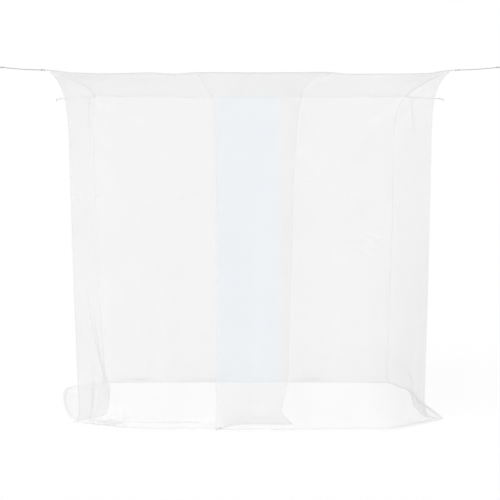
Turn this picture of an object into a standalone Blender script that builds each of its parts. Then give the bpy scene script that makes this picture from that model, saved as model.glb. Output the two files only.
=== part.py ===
"""Box mosquito net for a double bed, hung by cords from its four roof corners.

Metres, +Z up, front towards -Y, origin on the floor under the middle of the roof.
The lower part of each door panel is a flap that swings about a straight fold line.
"""

from math import cos, exp, pi, radians, sin

import bmesh
import bpy
from mathutils import Matrix, Vector

# Driving dimensions of the hung net
roof_height = 2.0
front_corner = (1.117, -1.000, 2.008)
rear_corner = (1.082, 1.000, 2.000)
front_plane = -0.985
cloth_thickness = 0.0008
seam_inset = 0.003
tape_width = 0.008
tape_thickness = 0.0016
hem_width = 0.012
hem_thickness = 0.0012
hem_gap = 0.0015
hem_lift = 0.0002

# Doors: the flat middle of the front, the fold lines and the panels' spacing
door_flat_half = 0.62
door_turn_power = 2.2
door_columns = 11
fold_foot_height = 0.035
fold_top_height = 1.75
fold_clearance = 0.002
flap_top_gap = 0.03
panel_offset_top = 0.004
panel_offset_low = 0.015
ripple_depth = 0.0045
ripple_length = 0.31
ripple_clear_of_fold = (0.03, 0.16)
ripple_clear_of_edge = 0.10
ripple_grow_length = 0.6
binding_top_share = 0.12
seam_steps = 6

# How far the front roof edge hangs below its corners, evenly spaced from left to right
front_edge_drops = [0.0, 0.010, 0.016, 0.0165, 0.0155, 0.0155, 0.013, 0.0115, 0.012]
front_edge_drops += [0.012, 0.0115, 0.0125, 0.0165, 0.019, 0.0185, 0.011, 0.0]

# Free edges: (extra width, how fast it fades) pairs over the upright line, and the drift below
left_edge_low = 0.250
left_edge_swoop = [(0.170, 0.035), (0.055, 0.20)]
left_edge_drift = 0.026
left_drift_start = 0.24
right_edge_low = -0.184
right_edge_swoop = [(-0.112, 0.11)]

# How far each door flap lies out on the floor, from its fold line to its free edge
left_flap_reach = [0.012, 0.07, 0.10, 0.13, 0.16]
right_flap_reach = [0.012, 0.03, 0.055, 0.06, 0.05]

# Hanging gear
cord_diameter = 0.005
cord_sag = 0.003
cord_step = 0.0115
wall_plane = 1.375
hook_line = 1.200
pad_thickness = 0.001
plate_thickness = 0.003
plate_radius = 0.013
arm_reach = 0.017
arm_radius = 0.0025
arm_drop = 0.0005
arm_bend = 0.004
post_rise = 0.007
loop_length = 0.034
loop_height = 0.009
loop_band = 0.006
loop_thickness = 0.001
loop_corner_gap = 0.0025
loop_end_points = 8
eye_radius = 0.0073
eye_in_loop = 0.0044
knot_half_length = 0.006
knot_radius = 0.005
knot_bite = 0.0015
touch_gap = 0.0003
plate_edge = 0.0008
plate_sides = 24
bend_steps = 5

# Loose cord ends at the rear corners: length and sideways drift
tail_radius = 0.0014
tail_step = 0.0085
tail_start = 0.050
tail_start_drop = 0.0065
tail_bend = (0.002, 0.002, -0.02)
tail_shares = (0.3, 0.55, 0.8, 1.0)
tail_wave = 0.004
tail_wave_offset = 0.003
tail_wave_turn = 5.0
tails = {"rear_left": (0.205, 0.004), "rear_right": (0.235, 0.022)}

# Rows of every hanging wall: heights down to the bend, then shares of the reach on the floor
hang_heights = [2.0, 1.965, 1.92, 1.85, 1.75, 1.45, 1.15, 0.85, 0.55, 0.30, 0.14, 0.07]
floor_shares = [0.12, 0.34, 0.66, 1.0]
floor_heights = [0.034, 0.011, 0.006, 0.001]
wall_columns = 32
tape_columns = 18
roof_columns = 12
roof_rows = 10
roof_sag = 0.035
corner_tape_drop = 0.024
roof_tape_inset = 0.012

# Upright folds of the walls, and how their feet stray from the straight line between the corners
fold_drift = 0.04
fold_drift_turns = 1.7
fold_end_fade = 0.10
fold_grow_power = 1.6
fold_detail = 0.35
fold_detail_turns = 2.3
fold_detail_phase = 1.3
foot_fade_height = 0.9
foot_full_height = 0.14
skirt_turn_share = 0.10
left_wall_foot = [0.0, -0.015, -0.030, -0.050, -0.078, -0.112, -0.143, -0.142, 0.0]
right_wall_foot = [0.0, -0.022, -0.026, 0.000, 0.035, 0.072, 0.088, 0.045, 0.0]
rear_wall_foot = [0.0, 0.010, 0.015, 0.012, 0.015, 0.010, 0.0]


def lerp(a, b, share):
    return a + (b - a) * share


def smooth(low, high, value):
    share = min(max((value - low) / (high - low), 0.0), 1.0)
    return share * share * (3.0 - 2.0 * share)


def smooth_list(values, share):
    """Reads evenly spaced control values at share, from 0 to 1, with soft steps between them."""
    place = min(max(share, 0.0), 1.0) * (len(values) - 1)
    index = min(int(place), len(values) - 2)
    return lerp(values[index], values[index + 1], smooth(0.0, 1.0, place - index))


def curve_list(values, share):
    """Reads evenly spaced control values at share, on one smooth curve through them."""
    last = len(values) - 1
    place = min(max(share, 0.0), 1.0) * last
    index = min(int(place), last - 1)
    t = place - index
    before = values[max(index - 1, 0)]
    here = values[index]
    there = values[index + 1]
    after = values[min(index + 2, last)]
    square = 2.0 * before - 5.0 * here + 4.0 * there - after
    cube = 3.0 * here - before - 3.0 * there + after
    return here + 0.5 * t * (there - before + t * (square + t * cube))


class Corner:
    """A vertical seam: pulled out at the top, settling to a nearly upright line below."""

    def __init__(self, top, low, floor, decay, outward, reach):
        self.top = Vector(top)
        self.low = Vector(low)
        self.floor = Vector(floor)
        self.decay = decay
        self.outward = Vector((*outward, 0.0)).normalized()
        self.reach = reach

    def plan(self, height):
        drop = max(self.top.z - height, 0.0)
        share = min(drop / self.top.z, 1.0)
        base = self.low.lerp(self.floor, share**1.6)
        pull = exp(-drop / self.decay)
        return Vector((lerp(base.x, self.top.x, pull), lerp(base.y, self.top.y, pull), 0.0))

    def height(self, row_height):
        return row_height * self.top.z / roof_height

    def point(self, row_height):
        high = self.height(row_height)
        flat = self.plan(high)
        return Vector((flat.x, flat.y, high))


corners = {
    "front_left": Corner(
        (-front_corner[0], front_corner[1], front_corner[2]),
        (-1.016, -0.935),
        (-0.986, -0.715),
        0.095,
        (-0.80, -0.60),
        0.040,
    ),
    "front_right": Corner(
        front_corner,
        (1.018, -0.935),
        (1.014, -0.660),
        0.080,
        (0.80, -0.60),
        0.075,
    ),
    "rear_left": Corner(
        (-rear_corner[0], rear_corner[1], rear_corner[2]),
        (-1.085, 0.960),
        (-1.012, 0.985),
        0.090,
        (-0.82, 0.57),
        0.030,
    ),
    "rear_right": Corner(
        rear_corner,
        (0.998, 0.960),
        (0.955, 0.980),
        0.080,
        (0.82, 0.57),
        0.030,
    ),
}


class Wall:
    """A side or rear wall between two corner seams, with its roof edge, folds and skirt."""

    def __init__(self, start, end, outward, bow_top, foot, edge_sag, reach, fold):
        self.start = corners[start]
        self.end = corners[end]
        self.outward = Vector((*outward, 0.0))
        self.bow_top = bow_top
        self.foot = foot
        self.edge_sag = edge_sag
        self.reach = [self.start.reach, *reach, self.end.reach]
        self.fold = fold

    def length(self):
        return (self.end.top - self.start.top).length

    def span(self, column, columns):
        inset = seam_inset / self.length()
        return lerp(inset, 1.0 - inset, column / columns)

    def edge(self, share):
        """The roof seam's line."""
        point = self.start.top.lerp(self.end.top, share)
        arch = 4.0 * share * (1.0 - share)
        return point + self.outward * self.bow_top * arch - Vector((0, 0, self.edge_sag * arch))

    def row_height(self, share, row_height):
        edge = self.edge(share).z
        return (edge - seam_inset) * row_height / roof_height

    def flat(self, share, high):
        """Plan position of the cloth's middle surface at a height, without folds."""
        line = self.start.plan(high).lerp(self.end.plan(high), share)
        drop = max(self.edge(share).z - high, 0.0)
        arch = 4.0 * share * (1.0 - share)
        pull = exp(-drop / self.start.decay)
        rise = (high - foot_full_height) / (foot_fade_height - foot_full_height)
        low = curve_list(self.foot, share) * (1.0 - min(max(rise, 0.0), 1.0)) ** 2
        return line + self.outward * (low + self.bow_top * arch * pull)

    def fold_depth(self, share, high):
        """Soft upright folds that deepen downwards and die out at the seams."""
        waves, depth, phase = self.fold
        turn = 2.0 * pi * waves * (share + fold_drift * sin(2.0 * pi * fold_drift_turns * share + phase))
        fade = smooth(0.0, fold_end_fade, share) * smooth(0.0, fold_end_fade, 1.0 - share)
        drop = (max(roof_height - high, 0.0) / roof_height) ** fold_grow_power
        detail = fold_detail * sin(fold_detail_turns * turn + fold_detail_phase)
        return depth * fade * drop * (sin(turn + phase) + detail)

    def direction(self, share):
        """Which way the skirt lies: along the seam's own way at a corner, square out elsewhere."""
        near = smooth(0.0, skirt_turn_share, min(share, 1.0 - share))
        seam = self.start.outward if share < 0.5 else self.end.outward
        return seam.lerp(self.outward, near).normalized()

    def grid(self, columns):
        rows = []
        for row_height in hang_heights:
            row = []
            for column in range(columns + 1):
                share = self.span(column, columns)
                high = self.row_height(share, row_height)
                point = self.flat(share, high) + self.outward * self.fold_depth(share, high)
                row.append(Vector((point.x, point.y, high)))
            rows.append(row)
        for reached, high in zip(floor_shares, floor_heights):
            row = []
            for column in range(columns + 1):
                share = self.span(column, columns)
                foot = rows[len(hang_heights) - 1][column]
                out = self.direction(share) * smooth_list(self.reach, share) * reached
                row.append(Vector((foot.x + out.x, foot.y + out.y, high)))
            rows.append(row)
        return rows


walls = {
    "left": Wall(
        "rear_left", "front_left", (-1, 0), -0.066, left_wall_foot, 0.006, [0.22, 0.26, 0.26, 0.24], (4, 0.009, 0.4)
    ),
    "right": Wall(
        "front_right", "rear_right", (1, 0), -0.036, right_wall_foot, 0.006, [0.10, 0.11, 0.09, 0.04], (5, 0.006, 1.9)
    ),
    "rear": Wall(
        "rear_right", "rear_left", (0, 1), -0.020, rear_wall_foot, 0.005, [0.045, 0.03, 0.05, 0.035], (5, 0.009, 2.7)
    ),
}


class Door:
    """One overlapping front panel, from a corner seam to its free edge. side is -1 for the left."""

    def __init__(self, corner, side):
        self.corner = corners[corner]
        self.side = side
        self.foot = self.fold_point(fold_foot_height)
        self.top = self.fold_point(fold_top_height)

    def plane(self, high):
        """The flat middle's place in depth: a straight line, so that the fold line is straight."""
        low = 1.0 - high / roof_height
        return front_plane - self.side * lerp(panel_offset_top, panel_offset_low, low)

    def free_edge(self, high):
        drop = max(roof_height - high, 0.0)
        swoop = left_edge_swoop if self.side < 0 else right_edge_swoop
        extra = sum(width * exp(-drop / fade) for width, fade in swoop)
        if self.side < 0:
            return left_edge_low + extra - left_edge_drift * max(drop - left_drift_start, 0.0)
        return right_edge_low + extra

    def fold_at(self, high):
        """Where the fold line crosses a height."""
        low_end = self.side * door_flat_half
        high_end = self.free_edge(fold_top_height)
        rise = (high - fold_foot_height) / (fold_top_height - fold_foot_height)
        return lerp(low_end, high_end, rise)

    def fold_point(self, high):
        return Vector((self.fold_at(high), self.plane(high), high))

    def edge_drop(self, x):
        """How far the front roof edge hangs below the roof's height."""
        share = (x + front_corner[0]) / (2.0 * front_corner[0])
        return smooth_list(front_edge_drops, share) - (front_corner[2] - roof_height)

    def surface(self, x, high):
        """A point of the panel: flat in the middle, turning back to the seam beside it."""
        seam = self.corner.plan(high)
        beyond = max(abs(x) - door_flat_half, 0.0) / max(abs(seam.x) - door_flat_half, 0.01)
        outside = x * self.side > 0.0
        share = min(beyond, 1.0) ** door_turn_power if outside else 0.0
        depth = lerp(self.plane(high), seam.y, share)
        return Vector((x, depth + self.ripple(x, high) * (1.0 - share), high))

    def ripple(self, x, high):
        """Shallow folds, none at the fold line, the free edge or the roof."""
        from_fold = smooth(*ripple_clear_of_fold, abs(x - self.fold_at(high)))
        from_edge = smooth(0.0, ripple_clear_of_edge, abs(x - self.free_edge(high)))
        drop = 1.0 - exp(-max(roof_height - high, 0.0) / ripple_grow_length)
        return ripple_depth * from_fold * from_edge * drop * sin(2.0 * pi * x / ripple_length + self.side)

    def row_height(self, x, row_height):
        top = roof_height - self.edge_drop(x) - seam_inset
        return top * row_height / roof_height

    def seam_x(self, row_height):
        """Where a row of the panel meets the corner seam, found in a few steps."""
        x = self.corner.top.x
        for step in range(seam_steps):
            x = self.corner.plan(self.row_height(x, row_height)).x
        return x

    def reach_at(self, x):
        """How far the panel lies out on the floor, and which way."""
        if (x - self.foot.x) * self.side >= 0.0:
            share = (abs(x) - door_flat_half) / (abs(self.corner.plan(0.0).x) - door_flat_half)
            way = Vector((0, -1, 0)).lerp(self.corner.outward, smooth(0.3, 1.0, share)).normalized()
            return way * lerp(left_flap_reach[0], self.corner.reach, smooth(0.0, 1.0, share))
        share = abs(x - self.foot.x) / abs(self.free_edge(0.0) - self.foot.x)
        if self.side < 0:
            return Vector((0, 1, 0)) * smooth_list(left_flap_reach, share)
        return Vector((0, -1, 0)) * smooth_list(right_flap_reach, share)

    def add_floor_rows(self, rows, first_share):
        for reached, high in zip(floor_shares, floor_heights):
            row = []
            for foot in rows[first_share]:
                out = self.reach_at(foot.x) * reached
                row.append(Vector((foot.x + out.x, foot.y + out.y, high)))
            rows.append(row)
        return rows

    def panel_grid(self, columns):
        """The sewn panel: from the seam to the fold line, and to the free edge above its top."""
        rows = []
        for row_height in hang_heights:
            row = []
            for column in range(columns + 1):
                high = self.row_height(self.side * door_flat_half, row_height)
                limit = self.fold_at(high) + self.side * fold_clearance
                if row_height >= fold_top_height:
                    limit = self.free_edge(high)
                start = self.seam_x(row_height) - self.side * seam_inset
                x = lerp(start, limit, column / columns)
                row.append(self.surface(x, self.row_height(x, row_height)))
            rows.append(row)
        return self.add_floor_rows(rows, len(hang_heights) - 1)

    def flap_grid(self, columns):
        """The flap: from the fold line to the free edge, below the fold line's top."""
        rows = []
        top = fold_top_height - flap_top_gap
        for row_height in [top, *[h for h in hang_heights if h < top]]:
            row = []
            for column in range(columns + 1):
                start = self.fold_at(row_height) - self.side * fold_clearance
                x = lerp(start, self.free_edge(row_height), column / columns)
                row.append(self.surface(x, row_height))
            rows.append(row)
        return self.add_floor_rows(rows, len(rows) - 1)


doors = {"left": Door("front_left", -1), "right": Door("front_right", 1)}


def clear_scene():
    for thing in list(bpy.data.objects):
        bpy.data.objects.remove(thing, do_unlink=True)


def make_material(name, colour, roughness, metallic=0.0):
    material = bpy.data.materials.new(name)
    material.use_nodes = True
    shader = material.node_tree.nodes["Principled BSDF"]
    shader.inputs["Base Color"].default_value = (*colour, 1.0)
    shader.inputs["Roughness"].default_value = roughness
    shader.inputs["Metallic"].default_value = metallic
    material.diffuse_color = (*colour, 1.0)
    return material


def make_object(name, mesh, material):
    thing = bpy.data.objects.new(name, mesh)
    mesh.materials.append(material)
    bpy.context.scene.collection.objects.link(thing)
    return thing


def mesh_from(build, name):
    mesh = bpy.data.meshes.new(name)
    bmesh.ops.recalc_face_normals(build, faces=build.faces)
    build.to_mesh(mesh)
    build.free()
    return mesh


def add_cloth(name, rows, material):
    """A sheet through rows of points, given its thickness by a Solidify."""
    build = bmesh.new()
    verts = [[build.verts.new(point) for point in row] for row in rows]
    for upper, lower in zip(verts, verts[1:]):
        for index in range(len(upper) - 1):
            build.faces.new((upper[index], lower[index], lower[index + 1], upper[index + 1]))
    thing = make_object(name, mesh_from(build, name), material)
    thing.data.shade_smooth()
    solid = thing.modifiers.new("Thickness", "SOLIDIFY")
    solid.thickness = cloth_thickness
    solid.offset = 0.0
    return thing


def add_strip(name, path, ways, width, thickness, material, closed=False):
    """A flat band that follows path, its width along ways, from a rectangle at each point."""
    build = bmesh.new()
    rings = []
    count = len(path)
    for index, (centre, way) in enumerate(zip(path, ways)):
        before = path[(index - 1) % count] if closed else path[max(index - 1, 0)]
        after = path[(index + 1) % count] if closed else path[min(index + 1, count - 1)]
        along = (after - before).normalized()
        way = (way - along * way.dot(along)).normalized()
        face = along.cross(way)
        half_way = way * width / 2.0
        half_face = face * thickness / 2.0
        ring = [
            centre - half_way - half_face,
            centre + half_way - half_face,
            centre + half_way + half_face,
            centre - half_way + half_face,
        ]
        rings.append([build.verts.new(corner) for corner in ring])
    pairs = list(zip(rings, rings[1:]))
    if closed:
        pairs.append((rings[-1], rings[0]))
    for here, there in pairs:
        for side in range(4):
            other = (side + 1) % 4
            build.faces.new((here[side], here[other], there[other], there[side]))
    if not closed:
        build.faces.new(rings[0][::-1])
        build.faces.new(rings[-1])
    return make_object(name, mesh_from(build, name), material)


def spline_route(points, spacing):
    """Even points along a smooth curve through the route's own points."""
    dense = []
    last = len(points) - 1
    for index in range(last):
        before = points[max(index - 1, 0)]
        here, there = points[index], points[index + 1]
        after = points[min(index + 2, last)]
        for step in range(20):
            t = step / 20.0
            dense.append(
                0.5
                * (
                    2.0 * here
                    + (there - before) * t
                    + (2.0 * before - 5.0 * here + 4.0 * there - after) * t * t
                    + (3.0 * here - before - 3.0 * there + after) * t * t * t
                )
            )
    dense.append(points[last])
    total = sum((b - a).length for a, b in zip(dense, dense[1:]))
    count = max(round(total / spacing), 2)
    even, walked, index = [dense[0]], 0.0, 0
    for step in range(1, count):
        target = total * step / count
        while walked + (dense[index + 1] - dense[index]).length < target:
            walked += (dense[index + 1] - dense[index]).length
            index += 1
        piece = dense[index + 1] - dense[index]
        even.append(dense[index] + piece * ((target - walked) / piece.length))
    even.append(dense[last * 20])
    return even


def add_tube(name, points, radius, material, resolution=2):
    """A round cord or rod: a curve with a bevel and closed ends."""
    curve = bpy.data.curves.new(name, "CURVE")
    curve.dimensions = "3D"
    curve.bevel_depth = radius
    curve.bevel_resolution = resolution
    curve.use_fill_caps = True
    line = curve.splines.new("POLY")
    line.points.add(len(points) - 1)
    for slot, point in zip(line.points, points):
        slot.co = (*point, 1.0)
    return make_object(name, curve, material)


def make_roof(netting, tape):
    """The roof panel hangs between its four bowed edges, with a soft dip in the middle."""
    left, right, rear = walls["left"], walls["right"], walls["rear"]
    rows = []
    for row in range(roof_rows + 1):
        v = lerp(seam_inset / 2.0, 1.0 - seam_inset / 2.0, row / roof_rows)
        line = []
        for column in range(roof_columns + 1):
            u = lerp(seam_inset / 2.0, 1.0 - seam_inset / 2.0, column / roof_columns)
            west, east = left.edge(1.0 - v), right.edge(v)
            south, north = front_seam(u), rear.edge(1.0 - u)
            flat = west.lerp(east, u) + south.lerp(north, v)
            front_line = front_seam(0.0).lerp(front_seam(1.0), u)
            rear_line = rear.edge(1.0).lerp(rear.edge(0.0), u)
            point = flat - front_line.lerp(rear_line, v)
            dip = roof_sag * (16.0 * u * (1.0 - u) * v * (1.0 - v)) ** 0.8
            line.append(point - Vector((0, 0, dip)))
        rows.append(line)
    add_cloth("roof_panel", rows, netting)
    edges = {"left": left.edge, "right": right.edge, "rear": rear.edge, "front": front_seam}
    outward = {"left": (-1, 0, 0.5), "right": (1, 0, 0.5), "rear": (0, 1, 0.5), "front": (0, -1, 0.5)}
    for name, edge in edges.items():
        start, end = roof_tape_inset, 1.0 - roof_tape_inset
        path = [edge(lerp(start, end, step / tape_columns)) for step in range(tape_columns + 1)]
        way = Vector(outward[name]).normalized()
        path = [point + way * tape_width / 2.0 for point in path]
        add_strip(f"roof_tape_{name}", path, [way] * len(path), tape_width, tape_thickness, tape)


def front_seam(share):
    """The front roof seam's line, straight in plan but for the turn to the corners."""
    x = lerp(-front_corner[0], front_corner[0], share)
    beyond = max(abs(x) - door_flat_half, 0.0) / (front_corner[0] - door_flat_half)
    depth = lerp(front_plane, front_corner[1], beyond**door_turn_power)
    return Vector((x, depth, roof_height - doors["left"].edge_drop(x)))


def make_walls(netting, tape):
    for name, wall in walls.items():
        rows = wall.grid(wall_columns)
        add_cloth(f"{name}_wall", rows, netting)
        add_hem(f"{name}_hem", rows, tape)
    for name, corner in corners.items():
        heights = [roof_height - corner_tape_drop, *hang_heights[1:]]
        way = corner.outward
        path = [corner.point(high) + way * tape_width / 2.0 for high in heights]
        add_strip(f"corner_tape_{name}", path, [way] * len(path), tape_width, tape_thickness, tape)


def add_hem(name, rows, tape):
    """A flat tape along the lowest row, just beyond the cloth."""
    last, inner = rows[-1], rows[-2]
    path, ways = [], []
    for index, edge in enumerate(last):
        along = last[min(index + 1, len(last) - 1)] - last[max(index - 1, 0)]
        way = Vector((along.y, -along.x, 0.0)).normalized()
        if way.dot(edge - inner[index]) < 0.0:
            way = -way
        middle = edge + way * (hem_gap + hem_width / 2.0)
        path.append(Vector((middle.x, middle.y, hem_thickness / 2.0 + hem_lift)))
        ways.append(way)
    return add_strip(name, path, ways, hem_width, hem_thickness, tape)


def add_binding(name, edge, side, tape):
    """The tape along a run of points down a door's free edge, just beyond the cloth."""
    path, ways = [], []
    for index, point in enumerate(edge):
        along = edge[min(index + 1, len(edge) - 1)] - edge[max(index - 1, 0)]
        way = Vector((-along.z, 0.0, along.x)).normalized()
        if way.x * side > 0.0:
            way = -way
        path.append(point + way * (hem_gap + tape_width / 2.0))
        ways.append(way)
    return add_strip(name, path, ways, tape_width, tape_thickness, tape)


def make_doors(netting, tape):
    """Returns each flap's pieces, which move together about the fold line."""
    moving = {}
    for name, door in doors.items():
        panel = door.panel_grid(door_columns)
        add_cloth(f"{name}_front_panel", panel, netting)
        add_hem(f"{name}_front_hem", panel, tape)
        edge = [row[-1] for row, high in zip(panel, hang_heights) if high >= fold_top_height]
        edge[0] = edge[0].lerp(edge[1], binding_top_share)
        add_binding(f"{name}_upper_binding", edge, door.side, tape)
        flap = door.flap_grid(door_columns)
        edge = [row[-1] for row in flap[: -len(floor_shares)]]
        moving[name] = [
            add_cloth(f"{name}_door_flap", flap, netting),
            add_hem(f"{name}_door_hem", flap, tape),
            add_binding(f"{name}_door_binding", edge, door.side, tape),
        ]
    return moving


def hinge_empties(moving):
    """An empty on each fold line, its Z along the line, carries the flap's pieces."""
    for name, pieces in moving.items():
        door = doors[name]
        along = (door.top - door.foot).normalized()
        pivot = bpy.data.objects.new(f"{name}_door_fold_line", None)
        bpy.context.scene.collection.objects.link(pivot)
        pivot.matrix_world = Matrix.Translation(door.foot) @ along.to_track_quat("Z", "Y").to_matrix().to_4x4()
        bpy.context.view_layer.update()
        for piece in pieces:
            piece.parent = pivot
            piece.matrix_parent_inverse = pivot.matrix_world.inverted()


def make_hanging(cord, tape, plastic, foam):
    for name, corner in corners.items():
        side = 1.0 if corner.top.x > 0 else -1.0
        end = 1.0 if corner.top.y > 0 else -1.0
        post = Vector((side * (wall_plane - pad_thickness - plate_thickness - arm_reach), end * hook_line, corner.top.z))
        run = post - corner.top
        out = run.normalized()
        across = Vector((-out.y, out.x, 0.0))
        loop_end = make_loop(f"corner_loop_{name}", corner.top, out, across, tape)
        first = loop_end + out * (eye_radius - eye_in_loop)
        last = post - out * (eye_radius - cord_diameter / 2.0 - arm_radius - touch_gap)
        make_knot(f"loop_knot_{name}", first, out, cord)
        make_knot(f"hook_knot_{name}", last, -out, cord)
        knot_face = eye_radius + 2.0 * knot_half_length - knot_bite + touch_gap
        start, stop = first + out * knot_face, last - out * knot_face
        route = []
        for share in (0.0, 0.25, 0.5, 0.75, 1.0):
            sag = cord_sag * 4.0 * share * (1.0 - share)
            route.append(start.lerp(stop, share) - Vector((0, 0, sag)))
        add_tube(f"cord_{name}", spline_route(route, cord_step), cord_diameter / 2.0, cord)
        make_hook(name, post, side, plastic, foam)


def make_loop(name, corner, out, across, tape):
    """A folded tape on its side: an upright flat ring that a cord's eye passes through."""
    radius = loop_height / 2.0
    start = corner + out * (loop_corner_gap + radius)
    stop = corner + out * (loop_length - radius)
    path = []
    for centre, first_angle in ((stop, -90.0), (start, 90.0)):
        for step in range(loop_end_points):
            angle = radians(first_angle + 180.0 * step / (loop_end_points - 1))
            path.append(centre + out * radius * cos(angle) + Vector((0, 0, radius * sin(angle))))
    add_strip(name, path, [across] * len(path), loop_band, loop_thickness, tape, closed=True)
    return stop + out * radius


def make_knot(name, centre, out, cord):
    """The cord's eye, a ring lying flat, closed by a knot on the side of the cord's run."""
    radius = cord_diameter / 2.0
    across = Vector((-out.y, out.x, 0.0))
    build = bmesh.new()
    rings = []
    around, sides = 16, 6
    for step in range(around):
        angle = 2.0 * pi * step / around
        spoke = out * cos(angle) + across * sin(angle)
        ring = []
        for side in range(sides):
            turn = 2.0 * pi * side / sides
            point = centre + spoke * (eye_radius + radius * cos(turn)) + Vector((0, 0, radius * sin(turn)))
            ring.append(build.verts.new(point))
        rings.append(ring)
    for here, there in zip(rings, rings[1:] + rings[:1]):
        for side in range(sides):
            other = (side + 1) % sides
            build.faces.new((here[side], there[side], there[other], here[other]))
    eye = make_object(name, mesh_from(build, name), cord)
    middle = centre + out * (eye_radius + knot_half_length - knot_bite)
    build = bmesh.new()
    bmesh.ops.create_uvsphere(build, u_segments=10, v_segments=6, radius=1.0)
    turn = out.to_track_quat("Z", "Y").to_matrix().to_4x4()
    stretch = Matrix.Diagonal((knot_radius, knot_radius, knot_half_length, 1.0))
    bmesh.ops.transform(build, matrix=Matrix.Translation(middle) @ turn @ stretch, verts=build.verts)
    ball = make_object(f"{name}_ball", mesh_from(build, f"{name}_ball"), cord)
    join_with(eye, ball)


def join_with(thing, other):
    """A Boolean union with a hidden helper."""
    other.hide_render = True
    other.display_type = "WIRE"
    union = thing.modifiers.new("Union", "BOOLEAN")
    union.operation = "UNION"
    union.solver = "EXACT"
    union.object = other


def make_hook(name, post, side, plastic, foam):
    """A round plate with an arm that turns up into a post, and its adhesive pad."""
    out = Vector((side, 0, 0))
    arm_low = post.z - cord_diameter / 2.0 - touch_gap - arm_radius - arm_drop
    face = Vector((side * (wall_plane - pad_thickness), post.y, arm_low))
    plate = add_disc(f"wall_hook_{name}", face - out * plate_thickness / 2.0, plate_radius, plate_thickness, plastic)
    bevel = plate.modifiers.new("Edge", "BEVEL")
    bevel.width = plate_edge
    bevel.segments = 2
    bend = arm_bend
    turn = Vector((post.x + side * bend, post.y, arm_low + bend))
    route = [face - out * plate_thickness / 3.0, turn - Vector((0, 0, bend))]
    for step in range(1, bend_steps):
        angle = radians(90.0 * step / bend_steps)
        route.append(turn - out * bend * sin(angle) - Vector((0, 0, bend * cos(angle))))
    route += [turn - out * bend, Vector((post.x, post.y, post.z + post_rise))]
    arm = make_object(f"wall_hook_{name}_arm", rod_mesh(route, arm_radius, Vector((0, 1, 0))), plastic)
    join_with(plate, arm)
    pad_centre = Vector((side * (wall_plane - (pad_thickness - touch_gap) / 2.0), post.y, arm_low))
    add_disc(f"adhesive_pad_{name}", pad_centre, plate_radius - 0.001, pad_thickness - touch_gap, foam)


def rod_mesh(points, radius, across, sides=10):
    """A round rod bent in the plane square to across."""
    build = bmesh.new()
    rings = []
    for index, centre in enumerate(points):
        before, after = points[max(index - 1, 0)], points[min(index + 1, len(points) - 1)]
        along = (after - before).normalized()
        up = along.cross(across).normalized()
        ring = []
        for side in range(sides):
            turn = 2.0 * pi * side / sides
            ring.append(build.verts.new(centre + across * radius * cos(turn) + up * radius * sin(turn)))
        rings.append(ring)
    for here, there in zip(rings, rings[1:]):
        for side in range(sides):
            other = (side + 1) % sides
            build.faces.new((here[side], here[other], there[other], there[side]))
    build.faces.new(rings[0][::-1])
    build.faces.new(rings[-1])
    return mesh_from(build, "rod")


def add_disc(name, centre, radius, thickness, material):
    """A round plate on its side, its axis along X."""
    build = bmesh.new()
    bmesh.ops.create_cone(
        build, cap_ends=True, segments=plate_sides, radius1=radius, radius2=radius, depth=thickness
    )
    place = Matrix.Translation(centre) @ Matrix.Rotation(radians(90.0), 4, "Y")
    bmesh.ops.transform(build, matrix=place, verts=build.verts)
    thing = make_object(name, mesh_from(build, name), material)
    thing.data.shade_smooth()
    thing.data.set_sharp_from_angle(angle=radians(40.0))
    return thing


def make_tails(cord):
    """Loose cord ends that hang from the knots at the rear corners."""
    for name, (length, drift) in tails.items():
        corner = corners[name]
        side = 1.0 if corner.top.x > 0 else -1.0
        start = corner.top + corner.outward * tail_start - Vector((0, 0, tail_start_drop))
        bend_x, bend_y, bend_z = tail_bend
        route = [start, start + Vector((side * bend_x, bend_y, bend_z))]
        for share in tail_shares:
            wave = tail_wave_offset + tail_wave * sin(tail_wave_turn * share)
            route.append(start + Vector((side * (bend_x + drift * share), wave, -length * share)))
        add_tube(f"cord_tail_{name}", spline_route(route, tail_step), tail_radius, cord)


def build_net():
    clear_scene()
    netting = make_material("white_netting", (0.93, 0.93, 0.93), 0.9)
    tape = make_material("white_tape", (0.88, 0.88, 0.88), 0.85)
    cord = make_material("white_cord", (0.82, 0.82, 0.82), 0.8)
    plastic = make_material("white_plastic", (0.90, 0.90, 0.90), 0.35)
    foam = make_material("pad_foam", (0.80, 0.80, 0.80), 0.9)
    make_roof(netting, tape)
    make_walls(netting, tape)
    hinge_empties(make_doors(netting, tape))
    make_hanging(cord, tape, plastic, foam)
    make_tails(cord)
    for name, door in doors.items():
        along = (door.top - door.foot).normalized()
        print(f"{name} fold line from {tuple(round(v, 5) for v in door.foot)}", end=" ")
        print(f"along {tuple(round(v, 6) for v in along)}")


build_net()
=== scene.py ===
from math import atan2, cos, exp, hypot, pi, radians, sin, sqrt

import bpy
import numpy as np
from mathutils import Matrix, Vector, noise


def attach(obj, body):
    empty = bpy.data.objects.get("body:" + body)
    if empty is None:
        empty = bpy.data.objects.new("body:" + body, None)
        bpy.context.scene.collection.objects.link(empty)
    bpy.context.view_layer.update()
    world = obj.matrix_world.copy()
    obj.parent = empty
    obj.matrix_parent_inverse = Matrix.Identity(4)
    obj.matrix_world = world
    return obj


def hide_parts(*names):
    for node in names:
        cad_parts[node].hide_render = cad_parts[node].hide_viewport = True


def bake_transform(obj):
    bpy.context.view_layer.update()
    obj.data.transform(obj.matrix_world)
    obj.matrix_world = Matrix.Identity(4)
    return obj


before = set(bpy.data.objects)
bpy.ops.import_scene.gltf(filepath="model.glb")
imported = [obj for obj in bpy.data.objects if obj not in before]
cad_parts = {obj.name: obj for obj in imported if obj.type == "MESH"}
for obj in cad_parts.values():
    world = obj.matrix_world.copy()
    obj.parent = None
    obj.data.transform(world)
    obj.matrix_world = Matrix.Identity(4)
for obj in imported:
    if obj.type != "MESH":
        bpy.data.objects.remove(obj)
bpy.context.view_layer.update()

print("frame loaded with", len(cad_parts), "nodes")
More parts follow.
